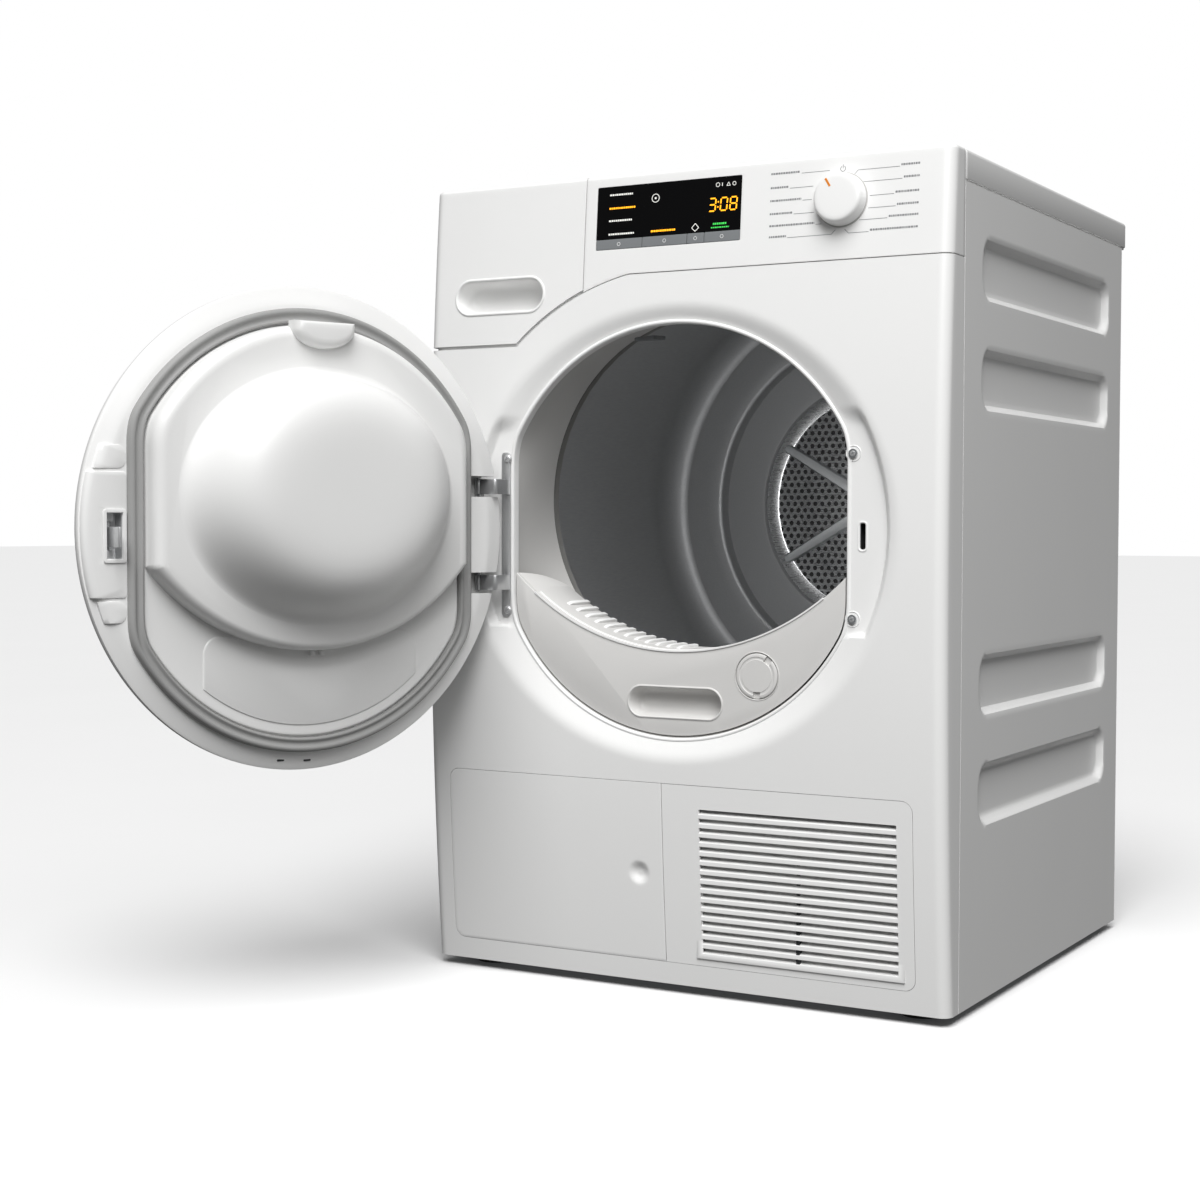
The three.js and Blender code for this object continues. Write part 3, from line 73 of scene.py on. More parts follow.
DOOR_Z = 482
DISH_R = 248
DISH_FLOOR_R = 216
FLOOR_Y = CROWN_Y + 12
MOUTH_Z = 480
MOUTH_R = 213
MOUTH_HALF = 193
DRUM_Z = 514
COLLAR_REAR_Y = -205.3
COLLAR_REAR_R = 197
COLLAR_FRONT_Y = -293.4
JOINT_R = 268
FASCIA_LINE_Z = 745
TANK_LINE_Z = 676
KNOB_X, KNOB_Z = 184, 804
PLINTH_OUTLINE = (-271.5, 264.5, 33.5, 220.5, 11.5)
SMILE_Z = 592
CAP_X, CAP_Z = 95, 335
EAR_LOW_Z = (519, 417)
EAR_TALL = 16
CAMERA_PLACE = (0.96777, -2.12926, 0.48775)
CAMERA_YAW, CAMERA_PITCH, CAMERA_ROLL = -29.876, -2.160, 0.129

JOINTS = {j["name"]: j for j in frame["joints"]}
HINGE = [v / MM for v in JOINTS["door_hinge"]["pos_m"]]
OPEN_ANGLE = -JOINTS["door_hinge"]["range_deg"][0]


def front_y(z):
    """The cabinet's front is a shallow arc seen from the side."""
    return CROWN_Y + (z - CROWN_Z) ** 2 / (2 * FRONT_RADIUS)


def smooth_step(a, b, v):
    t = min(1.0, max(0.0, (v - a) / (b - a)))
    return t * t * (3 - 2 * t)


def smooth_max(a, b, blend):
    h = max(blend - abs(a - b), 0.0) / blend
    return max(a, b) + h * h * blend / 4


# ------------------------------------------------------------------ meshes
def link(name, data):
    piece = bpy.data.objects.new(name, data)
    bpy.context.scene.collection.objects.link(piece)
    return piece


def solid(name, points, faces):
    """A mesh from points in millimetres, with its faces turned outwards."""
    data = bpy.data.meshes.new(name)
    data.from_pydata([(x * MM, y * MM, z * MM) for x, y, z in points], [], faces)
    mesh = bmesh.new()
    mesh.from_mesh(data)
    bmesh.ops.remove_doubles(mesh, verts=mesh.verts, dist=1e-6)
    bmesh.ops.recalc_face_normals(mesh, faces=mesh.faces)
    mesh.to_mesh(data)
    mesh.free()
    return link(name, data)


def bake_modifiers(piece):
    """Applies the modifiers that are on a piece."""
    graph = bpy.context.evaluated_depsgraph_get()
    done = bpy.data.meshes.new_from_object(piece.evaluated_get(graph))
    piece.modifiers.clear()
    piece.data = done
    return piece


def rings(name, loops, closed=False):
    """Loops of points with as many points each, joined in order; the ends are capped,
    or joined to each other where the section is closed."""
    count = len(loops[0])
    points = [p for loop in loops for p in loop]
    faces = []
    pairs = list(zip(range(len(loops) - 1), range(1, len(loops))))
    if closed:
        pairs.append((len(loops) - 1, 0))
    for a, b in pairs:
        for i in range(count):
            j = (i + 1) % count
            faces.append((a * count + i, a * count + j, b * count + j, b * count + i))
    if not closed:
        faces.append(tuple(range(count)))
        faces.append(tuple(range((len(loops) - 1) * count, len(loops) * count)))
    return solid(name, points, faces)


def turned(name, profile, x=0, z=0, sides=192, closed=True):
    """A [radius, y] profile turned about an axis along Y."""
    loops = []
    for r, y in profile:
        loops.append(at_y(circle(max(r, 0.01), x, z, sides), y))
    return rings(name, loops, closed)


def prism(name, outline, y0, y1):
    """An outline in x and z, drawn out along Y."""
    return rings(name, [[(x, y, z) for x, z in outline] for y in (y0, y1)])


def upright(name, outline, z0, z1):
    """An outline in x and y, drawn up from z0 to z1."""
    return rings(name, [[(x, y, z) for x, y in outline] for z in (z0, z1)])


def bar(name, low, high):
    (x0, y0, z0), (x1, y1, z1) = low, high
    return prism(name, [(x0, z0), (x1, z0), (x1, z1), (x0, z1)], y0, y1)


def rounded(x0, x1, z0, z1, r, steps=12):
    """A rounded rectangle as points in x and z."""
    points = []
    corners = [(x1 - r, z0 + r, -90), (x1 - r, z1 - r, 0), (x0 + r, z1 - r, 90), (x0 + r, z0 + r, 180)]
    for cx, cz, start in corners:
        for i in range(steps + 1):
            t = math.radians(start + 90 * i / steps)
            points.append((cx + r * math.cos(t), cz + r * math.sin(t)))
    return points


def circle(r, x, z, sides=192):
    steps = [2 * math.pi * i / sides for i in range(sides)]
    return [(x + r * math.cos(t), z + r * math.sin(t)) for t in steps]


def cut_circle(r, half, z, sides=192):
    """A circle with its left and right sides cut straight and their corners eased."""
    points = []
    for i in range(sides):
        t = 2 * math.pi * i / sides
        x, up = math.cos(t), math.sin(t)
        reach = -smooth_max(-r, -half / max(abs(x), 1e-6), 9)
        points.append((reach * x, z + reach * up))
    return points


def at_y(outline, y):
    return [(x, y, z) for x, z in outline]


def boolean(piece, operation, *tools):
    for tool in tools:
        change = piece.modifiers.new("cut", "BOOLEAN")
        change.operation = operation
        change.solver = "MANIFOLD"
        change.object = tool
        bake_modifiers(piece)
        bpy.data.objects.remove(tool)
    return piece


def cut(piece, *tools):
    return boolean(piece, "DIFFERENCE", *tools)


def join(piece, *tools):
    return boolean(piece, "UNION", *tools)


def keep(piece, *tools):
    return boolean(piece, "INTERSECT", *tools)


def soften(piece, width, segments=2, angle=40):
    """Rounds a piece's sharp edges."""
    edge = piece.modifiers.new("edges", "BEVEL")
    edge.width = width * MM
    edge.segments = segments
    edge.limit_method = "ANGLE"
    edge.angle_limit = math.radians(angle)
    edge.use_clamp_overlap = True
    edge.harden_normals = False
    return bake_modifiers(piece)


def put(piece, body, finish, stands_for=(), smooth_angle=32):
    """Gives a piece its finish and its body."""
    data = piece.data
    data.materials.clear()
    data.materials.append(finish)
    data.polygons.foreach_set("use_smooth", [True] * len(data.polygons))
    data.set_sharp_from_angle(angle=math.radians(smooth_angle))
    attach(piece, body)
    if stands_for:
        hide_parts(*stands_for)
    return piece


def sheet_patch(name, xs, zs, point, thickness):
    """A grid of points made into a sheet; point gives (x, y, z) for each column and row."""
    points = [point(s, z) for z in zs for s in xs]
    wide = len(xs)
    faces = []
    for row in range(len(zs) - 1):
        for col in range(wide - 1):
            a = row * wide + col
            faces.append((a, a + 1, a + wide + 1, a + wide))
    data = bpy.data.meshes.new(name)
    data.from_pydata([(x * MM, y * MM, z * MM) for x, y, z in points], [], faces)
    piece = link(name, data)
    shell = piece.modifiers.new("thickness", "SOLIDIFY")
    shell.thickness = thickness * MM
    shell.offset = -1
    shell.use_even_offset = True
    return bake_modifiers(piece)


def span(a, b, step):
    count = max(1, round(abs(b - a) / step))
    return [a + (b - a) * i / count for i in range(count + 1)]


# ------------------------------------------------------------------ materials
def linear(colour):
    """An sRGB hex colour as linear red, green, blue and alpha."""
    channels = [int(colour[i : i + 2], 16) / 255 for i in (1, 3, 5)]
    return [c / 12.92 if c <= 0.04045 else ((c + 0.055) / 1.055) ** 2.4 for c in channels] + [1]


def add(tree, kind, settings=None, **inputs):
    """Adds a node with its settings, and its inputs as values or as links from other nodes."""
    made = tree.nodes.new(kind)
    for key, value in (settings or {}).items():
        setattr(made, key, value)
    for key, value in inputs.items():
        socket = made.inputs[int(key[1:]) if key[0] == "_" else key.replace("_", " ")]
        if isinstance(value, bpy.types.NodeSocket):
            tree.links.new(value, socket)
        else:
            socket.default_value = value
    return made


def new_material(name, colour, roughness, metallic=0.0, **shader):
    """A material with its shader's own values set; returns it with its tree and shader."""
    material = bpy.data.materials.new(name)
    material.use_nodes = True
    tree = material.node_tree
    principled = tree.nodes["Principled BSDF"]
    principled.inputs["Base Color"].default_value = linear(colour)
    principled.inputs["Roughness"].default_value = roughness
    principled.inputs["Metallic"].default_value = metallic
    for key, value in shader.items():
        principled.inputs[key.replace("_", " ")].default_value = value
    return material, tree, principled


def worked_surface(name, tones, roughness, spread, fine, relief, broad=None, metal=0.0, **own):
    """A finish whose fine texture moves the sheen and stands proud, over slower changes of tone.
    spread is how far the roughness goes down and up, fine is the texture's size in mm, its detail
    and its stretch, relief is its height in mm and its strength, and broad is the tones' size in
    mm; without broad the texture carries the tones too."""
    material, tree, shader = new_material(name, tones[0], roughness, metal, **own)
    place = add(tree, "ShaderNodeTexCoord").outputs["Object"]
    size, detail, stretch = fine
    worked = add(tree, "ShaderNodeMapping", Vector=place, Scale=[v / MM for v in stretch]).outputs[0]
    texture = add(tree, "ShaderNodeTexNoise", Vector=worked, Scale=1 / size, Detail=detail).outputs[0]
    tone = texture
    if broad:
        even = add(tree, "ShaderNodeMapping", Vector=place, Scale=[1 / MM] * 3).outputs[0]
        tone = add(tree, "ShaderNodeTexNoise", Vector=even, Scale=1 / broad, Detail=2.0).outputs[0]
    first, second = linear(tones[0]), linear(tones[1])
    colour = add(tree, "ShaderNodeMix", {"data_type": "RGBA"}, _0=tone, _6=first, _7=second)
    low, high = roughness - spread[0], roughness + spread[1]
    sheen = add(tree, "ShaderNodeMapRange", Value=texture, To_Min=low, To_Max=high)
    height, strength = relief
    raised = add(tree, "ShaderNodeBump", Strength=strength, Distance=height * MM, Height=texture)
    tree.links.new(colour.outputs[2], shader.inputs["Base Color"])
    tree.links.new(sheen.outputs[0], shader.inputs["Roughness"])
    tree.links.new(raised.outputs[0], shader.inputs["Normal"])
    return material


EVEN = (1, 1, 1)


def painted_steel(name, colour, shade, roughness):
    """Powder-baked enamel: soft gloss over a faint orange peel, slightly uneven in tone."""
    peel = (3.2, 1.5, EVEN)
    coat = {"Coat_Weight": 0.25, "Coat_Roughness": 0.22}
    return worked_surface(name, (colour, shade), roughness, (0.04, 0.05), peel, (0.05, 0.35), 140, **coat)


def moulded(name, colour, shade, roughness, grain_size=0.9, relief=0.03, **own):
    """Injection-moulded plastic: the tool's fine spark-eroded grain, broad soft tone changes."""
    grain = (grain_size, 3, EVEN)
    return worked_surface(name, (colour, shade), roughness, (0.05, 0.07), grain, (relief, 0.5), 90, **own)


def rolled_metal(name, colour, shade, roughness, stretch, relief=0.01, metal=1.0):
    """Rolled or turned metal: long fine marks along the way it was worked."""
    marks = (1.6, 4, stretch)
    return worked_surface(
        name, (colour, shade), roughness, (0.07, 0.1), marks, (relief, 0.4), None, metal
    )


def zinc_plated(name, colour, shade):
    """Zinc-plated sheet: patches of spangle, about 7 mm across, that catch the light one by one."""
    material, tree, shader = new_material(name, colour, 0.42, 0.9)
    place = add(tree, "ShaderNodeTexCoord").outputs["Object"]
    even = add(tree, "ShaderNodeMapping", Vector=place, Scale=[1 / MM] * 3).outputs[0]
    cells = add(tree, "ShaderNodeTexVoronoi", Vector=even, Scale=1 / 7.0)
    flake = add(tree, "ShaderNodeSeparateColor", Color=cells.outputs["Color"]).outputs[0]
    first, second = linear(colour), linear(shade)
    patch = add(tree, "ShaderNodeMix", {"data_type": "RGBA"}, _0=flake, _6=first, _7=second)
    sheen = add(tree, "ShaderNodeMapRange", Value=flake, To_Min=0.32, To_Max=0.52)
    raised = add(tree, "ShaderNodeBump", Strength=0.3, Distance=0.02 * MM, Height=flake)
    tree.links.new(patch.outputs[2], shader.inputs["Base Color"])
    tree.links.new(sheen.outputs[0], shader.inputs["Roughness"])
    tree.links.new(raised.outputs[0], shader.inputs["Normal"])
    return material


def glowing(name, colour, strength):
    """A lit mark on the display: it shines by itself through the glass."""
    material, tree, shader = new_material(name, colour, 0.4)
    shader.inputs["Emission Color"].default_value = linear(colour)
    place = add(tree, "ShaderNodeTexCoord").outputs["Object"]
    even = add(tree, "ShaderNodeMapping", Vector=place, Scale=[1 / MM] * 3).outputs[0]
    cloud = add(tree, "ShaderNodeTexNoise", Vector=even, Scale=1 / 2.0, Detail=2.0).outputs[0]
    low, high = strength * 0.92, strength * 1.05
    glow = add(tree, "ShaderNodeMapRange", Value=cloud, To_Min=low, To_Max=high)
    tree.links.new(glow.outputs[0], shader.inputs["Emission Strength"])
    return material


# Baked powder coat: a soft, even white gloss with faint orange peel.
ENAMEL = painted_steel("powder_baked_white_enamel", "#F4F4F3", "#F1F1F0", 0.36)
# Spark-eroded mould face: white, a little flatter than the enamel.
WHITE_ABS = moulded("moulded_white_abs", "#F4F4F3", "#F0F0EF", 0.40)
# Polished mould: a cleaner highlight on the door and the knob.
DOOR_ABS = moulded("gloss_moulded_white_abs", "#F5F5F4", "#F2F2F1", 0.30, 1.2, 0.015)
# Thermoformed liner: broad soft highlights over the bulge.
LINER_PP = moulded("moulded_door_liner_polypropylene", "#EFEFEE", "#EBEBEA", 0.34, 1.4, 0.02)
# Light grey, finely grained and nearly matt.
COLLAR_PP = moulded("moulded_light_grey_polypropylene", "#C9C8C6", "#BFBEBC", 0.45)
# Warm grey cover, satin.
FILTER_ABS = moulded("moulded_warm_grey_abs", "#DAD9D7", "#D5D4D2", 0.42)
# Dark, matt structural plastic that stays in the background. The same dark is painted shade on the door's drain
# slots.
DARK_PP_AND_SHADE = moulded("moulded_dark_grey_polypropylene_and_painted_shade", "#2B2D2F", "#242628", 0.5)
# Soft elastomer: matt mid-grey, no sharp highlight.
SEAL_TPE = moulded("moulded_grey_elastomer", "#A2A2A1", "#999998", 0.62, 0.6, 0.05)
# Matt black with a dusty grain.
BLACK_RUBBER = moulded("moulded_black_rubber", "#1C1C1C", "#232323", 0.75, 0.8, 0.08)
# Solder resist: satin green.
BOARD = moulded("green_solder_resist", "#2F6B45", "#255A39", 0.4, 2.0, 0.05)
# Stoved black paint: dark, with a low gloss. The same black is painted shade behind the drum's punched plate.
BLACK_PAINT_AND_SHADE = moulded("black_stoved_paint_and_painted_shade", "#1B1B1C", "#222223", 0.4, 1.8, 0.04)
# Pressed wool: fibrous, fully matt.
FELT = moulded("pressed_wool_felt", "#7C7B79", "#706F6D", 0.95, 0.35, 0.5)
# Rolling marks run round the drum; the shade inside keeps it dark and satin.
DRUM_STEEL = rolled_metal(
    "dark_rolled_stainless_steel", "#8E8F90", "#858687", 0.46, (1, 0.12, 1), 0.01, 0.55
)
# Bright punched plate that stands out from the dark drum.
DISC_STEEL = rolled_metal("bright_rolled_stainless_steel", "#C4C5C6", "#B6B7B8", 0.26, (0.15, 1, 1))
# Cast skin: pale and slightly grainy.
CAST_ALU = rolled_metal("die_cast_aluminium", "#C8CACB", "#BEC0C1", 0.38, (1, 1, 1), 0.05)
# Satin plating on the bracket: long soft highlights.
NICKEL = rolled_metal("satin_nickel_plated_steel", "#D2D3D4", "#C8C9CA", 0.3, (1, 1, 0.2), 0.004, 0.75)
# Thin bright plating on screws and latch, greyer than nickel.
BRIGHT_ZINC = rolled_metal("bright_zinc_plated_steel", "#D6D7D8", "#CCCDCE", 0.36, (1, 1, 1), 0.01, 0.6)
# Polished plating: tight, mirror-like highlights.
CHROME = rolled_metal("nickel_chrome_plated_steel", "#D4D6D8", "#CBCDCF", 0.14, (1, 1, 0.2), 0.004)
# Hot-dip spangle: patches that differ a little in tone.
ZINC = zinc_plated("zinc_plated_sheet_steel", "#B4B7B9", "#A2A5A8")
# Gloss glass printed black on its back.
GLASS = moulded("back_printed_black_glass", "#050506", "#070708", 0.12, 40, 0.01, Specular_IOR_Level=0.3)
# The same glass printed grey under the keys.
KEY_GREY = moulded("back_printed_grey_glass", "#85888A", "#7E8183", 0.2, 30, 0.01, Specular_IOR_Level=0.3)
# Screen ink: a thin, flat grey.
GREY_INK = moulded("screen_printed_grey_ink", "#7E7F81", "#868789", 0.5, 0.5, 0.01)
# Screen ink: a flat orange on the knob.
ORANGE_INK = moulded("screen_printed_orange_ink", "#E58A1F", "#DC8119", 0.5, 0.5, 0.01)
# Lit segments: saturated amber.
AMBER = glowing("amber_display_light", "#F2A21E", 1.6)
# Lit legends: a dim, warm white.
WHITE_GLOW = glowing("white_display_light", "#D9D9D4", 0.55)
# Lit start legend: green.
GREEN_GLOW = glowing("green_display_light", "#38B24A", 1.2)

SLOT_FINISH = {
    "enamel": ENAMEL,
    "white_plastic": WHITE_ABS,
    "grey_plastic": COLLAR_PP,
    "dark_plastic": DARK_PP_AND_SHADE,
    "display_glass": GLASS,
    "door_rubber": SEAL_TPE,
    "black_rubber": BLACK_RUBBER,
    "felt": FELT,
    "zinc_steel": ZINC,
    "drum_steel": DRUM_STEEL,
    "chrome": CHROME,
    "cast_aluminium": CAST_ALU,
    "circuit_board": BOARD,
    "black_enamel": BLACK_PAINT_AND_SHADE,
}

# ------------------------------------------------------------------ camera, floor and light
camera = bpy.data.objects.new("camera", bpy.data.cameras.new("camera"))
bpy.context.scene.collection.objects.link(camera)
bpy.context.scene.camera = camera
yaw, pitch, roll = [math.radians(a) for a in (CAMERA_YAW, CAMERA_PITCH, CAMERA_ROLL)]
ahead = Vector((math.sin(yaw) * math.cos(pitch), math.cos(yaw) * math.cos(pitch), math.sin(pitch)))
level = Vector((math.cos(yaw), -math.sin(yaw), 0))
plumb = level.cross(ahead)
right = math.cos(roll) * level + math.sin(roll) * plumb
up = math.cos(roll) * plumb - math.sin(roll) * level
turn = Matrix((right, up, -ahead)).transposed().to_4x4()
camera.matrix_world = Matrix.Translation(CAMERA_PLACE) @ turn
camera.data.lens = 60.58
camera.data.sensor_width = 36
camera.data.clip_start = 0.05

floor_data = bpy.data.meshes.new("studio_floor")
edge = 30
floor_data.from_pydata(
    [(-edge, -edge, 0), (edge, -edge, 0), (edge, edge, 0), (-edge, edge, 0)], [], [(0, 1, 2, 3)]
)
studio_floor = link("studio_floor", floor_data)
paper, paper_tree, paper_shader = new_material("matt_white_paper", "#FBFBFB", 0.9)
paper_place = add(paper_tree, "ShaderNodeTexCoord").outputs["Object"]
paper_even = add(paper_tree, "ShaderNodeMapping", Vector=paper_place, Scale=[1 / MM] * 3).outputs[0]
paper_cloud = add(
    paper_tree, "ShaderNodeTexNoise", Vector=paper_even, Scale=1 / 400, Detail=2.0
).outputs[0]
paper_tones = {"_6": linear("#FCFCFC"), "_7": linear("#FAFAFA")}
paper_mix = add(paper_tree, "ShaderNodeMix", {"data_type": "RGBA"}, _0=paper_cloud, **paper_tones)
paper_tree.links.new(paper_mix.outputs[2], paper_shader.inputs["Base Color"])
floor_data.materials.append(paper)
studio_floor.visible_diffuse = False
studio_floor.visible_glossy = False

world = bpy.data.worlds.new("studio")
bpy.context.scene.world = world
world.use_nodes = True
sky = world.node_tree
seen = sky.nodes["Background"]
seen.inputs[0].default_value = (1, 1, 1, 1)
seen.inputs[1].default_value = 1.0
fill = add(sky, "ShaderNodeBackground", Color=(1, 1, 1, 1), Strength=0.125)
ray = add(sky, "ShaderNodeLightPath")
blend = add(
    sky, "ShaderNodeMixShader", _0=ray.outputs["Is Camera Ray"], _1=fill.outputs[0], _2=seen.outputs[0]
)
sky.links.new(blend.outputs[0], sky.nodes["World Output"].inputs[0])


def softbox(name, place, target, size, power):
    lamp = bpy.data.lights.new(name, "AREA")
    lamp.shape = "RECTANGLE"
    lamp.size, lamp.size_y = size
    lamp.energy = power
    box = bpy.data.objects.new(name, lamp)
    bpy.context.scene.collection.objects.link(box)
    box.location = place
    box.visible_camera = False
    box.rotation_euler = (Vector(target) - Vector(place)).to_track_quat("-Z", "Y").to_euler()


overhead = bpy.data.lights.new("overhead_light", "SUN")
overhead.energy = 3.1
overhead.angle = math.radians(42)
high = bpy.data.objects.new("overhead_light", overhead)
bpy.context.scene.collection.objects.link(high)
high.rotation_euler = Vector((0.22, -0.52, 0.80)).to_track_quat("Z", "Y").to_euler()
softbox("front_light", (0.85, -1.5, 1.5), (0, -0.3, 0.5), (0.9, 0.9), 10)
softbox("drum_light", (0.02, -0.22, 0.53), (0.06, 0.2, 0.5), (0.22, 0.22), 0.9)
bpy.context.scene.view_settings.view_transform = "Standard"

# ------------------------------------------------------------------ the arched front
def wrap(inset=0.0, column_step=4.0, fine=None):
    """The front's outline seen from above at the crown, from the left seam to the right one.
    fine is a band of |x| where the columns stand 1.2 mm apart."""
    half = HALF - inset
    r = max(CORNER - inset, 0.3)
    crown = CROWN_Y + inset
    flat = HALF - CORNER
    if fine:
        a, b = fine
        across = span(-flat, -b, column_step)[:-1] + span(-b, -a, 1.2)[:-1]
        across += span(-a, a, column_step) + span(a, b, 1.2)[1:] + span(b, flat, column_step)[1:]
    else:
        across = span(-flat, flat, column_step)
    side = [(-half, max(y, crown + r)) for y in span(SEAM_Y, CROWN_Y + CORNER, 9)[:-1]]
    corner = [
        (-half + r - r * math.cos(t), crown + r - r * math.sin(t))
        for t in [math.pi / 2 * i / 9 for i in range(10)]
    ]
    front = [(x * (half - r) / flat, crown) for x in across[1:-1]]
    left = side + corner
    return left + front + [(-x, y) for x, y in reversed(left)]


def lean(y, z):
    """Moves the straight outline's point to the arc; the edge on the seam stays."""
    share = min(1.0, max(0.0, (SEAM_Y - y) / (SEAM_Y - CROWN_Y - CORNER)))
    return y + share * (z - CROWN_Z) ** 2 / (2 * FRONT_RADIUS)


LAND_LOW = MOUTH_Z - 100
LAND_HIGH = MOUTH_Z + 120


def dish_y(x, z):
    """The dished ring: a flat floor, a conical side, and a wider floor beside the mouth."""
    r = math.hypot(x, z - DOOR_Z)
    slope = 12 / (DISH_R - DISH_FLOOR_R)
    cone = FLOOR_Y - max(0.0, r - DISH_FLOOR_R) * slope
    land = FLOOR_Y - max(0.0, r - 234.5) * 1.5
    share = smooth_step(LAND_LOW - 3, LAND_LOW + 1, z) * (
        1 - smooth_step(LAND_HIGH - 16, LAND_HIGH + 4, z)
    )
    return cone + (max(cone, land) - cone) * share


def front_sheet(name, z0, z1, thickness, dished=False, topped=False, column_step=4.0, row_step=4.0):
    """A skin over the front from z0 to z1, wrapped round the sides to the seam."""
    outline = wrap(0, column_step, (204, 250) if dished else None)
    rows = []
    edge_r = 4.0
    top_edge = z1 - edge_r if topped else z1
    for z in span(z0, top_edge, row_step):
        row = []
        for x, y in outline:
            deep = lean(y, z)
            if dished and y <= CROWN_Y + 0.01:
                deep = smooth_max(deep, dish_y(x, z), 2.4)
            row.append((x, deep, z))
        rows.append(row)
    if topped:
        for i in range(1, 9):
            t = math.pi / 2 * i / 8
            inset = edge_r * (1 - math.cos(t))
            z = top_edge + edge_r * math.sin(t)
            rows.append([(x, lean(y, z), z) for x, y in wrap(inset, column_step)])
        reach = SEAM_Y - front_y(z1) - 0.5
        for inset in span(edge_r, reach, 4)[1:]:
            line = wrap(inset, column_step)
            rows.append([(x, min(lean(y, z1), SEAM_Y), z1) for x, y in line])
    columns = range(len(outline))
    picked = list(range(len(rows)))
    return sheet_patch(name, columns, picked, lambda c, r: rows[r][c], thickness)


def joint_line(offset):
    """The joint under the fascia and the tank front: level, round the door, then level."""
    r = JOINT_R + offset
    start = math.pi - math.asin(min(1.0, (FASCIA_LINE_Z + offset - DOOR_Z) / r))
    end = math.pi - math.asin((TANK_LINE_Z + offset - DOOR_Z) / r)
    arc = [
        (r * math.cos(t), DOOR_Z + r * math.sin(t))
        for t in [start + (end - start) * i / 40 for i in range(41)]
    ]
    return [(HALF + 5, FASCIA_LINE_Z + offset), (arc[0][0] + 0.5, FASCIA_LINE_Z + offset)] + arc + [
        (arc[-1][0] - 9, TANK_LINE_Z + offset),
        (-HALF - 5, TANK_LINE_Z + offset),
    ]


def above_joint(offset):
    outline = joint_line(offset) + [(-HALF - 5, 900), (HALF + 5, 900)]
    return prism("above_joint", outline, CROWN_Y - 20, SEAM_Y + 8)


def below_joint(offset):
    outline = joint_line(offset) + [(-HALF - 5, -5), (HALF + 5, -5)]
    return prism("below_joint", outline, CROWN_Y - 20, SEAM_Y + 8)


def on_front(name, loops, sides=12):
    """A closed body lofted through rounded outlines that follow the front's arc.
    Each loop is (x0, x1, z0, z1, corner radius, depth behind the face)."""
    made = []
    for x0, x1, z0, z1, r, depth in loops:
        made.append([(x, front_y(z) + depth, z) for x, z in rounded(x0, x1, z0, z1, r, sides)])
    return rings(name, made)


def grown(box_edges, grow, depth):
    x0, x1, z0, z1, r = box_edges
    return (x0 - grow, x1 + grow, z0 - grow, z1 + grow, max(r + grow, 0.2), depth)


def printed(name, outlines, finish, body="cabinet", proud=0.14, surface=None):
    """Marks as thin raised plates on the front; each outline is a list of (x, z)."""
    face = surface or front_y
    points, faces = [], []
    for outline in outlines:
        base = len(points)
        count = len(outline)
        points += [(x, face(z) - proud, z) for x, z in outline]
        points += [(x, face(z) + 0.1, z) for x, z in outline]
        faces.append(tuple(range(base, base + count)))
        faces.append(tuple(range(base + count, base + 2 * count)))
        for i in range(count):
            j = (i + 1) % count
            faces.append((base + i, base + j, base + count + j, base + count + i))
    return put(solid(name, points, faces), body, finish)


def strip(points, width):
    """A line of even width through (x, z) points, as quads."""
    quads = []
    for (x0, z0), (x1, z1) in zip(points, points[1:]):
        length = math.hypot(x1 - x0, z1 - z0)
        sx, sz = (z0 - z1) / length * width / 2, (x1 - x0) / length * width / 2
        quads.append([(x0 - sx, z0 - sz), (x1 - sx, z1 - sz), (x1 + sx, z1 + sz), (x0 + sx, z0 + sz)])
    return quads


def slab(x0, x1, z0, z1):
    return [(x0, z0), (x1, z0), (x1, z1), (x0, z1)]


def ring_at(x, z, r, width, a0=0, a1=360, steps=20):
    arc = [math.radians(a0 + (a1 - a0) * i / steps) for i in range(steps + 1)]
    return strip([(x + r * math.cos(t), z + r * math.sin(t)) for t in arc], width)


def word_marks(x, z, length, height, seed):
    """A plain row of dashes where a legend stands: it spells nothing."""
    dashes = []
    at = x
    step = seed
    while at < x + length - 0.6:
        step = (step * 37 + 11) % 101
        wide = min(1.1 + 1.3 * step / 101, x + length - at)
        dashes.append(slab(at, at + wide, z - height / 2, z + height / 2))
        at += wide + 0.65
    return dashes


SCREWS = [(sx * 199, z) for sx in (-1, 1) for z in (395, 557)]
LATCH_SLOT = (205.9, 212.1, 463, 489, 2.4)


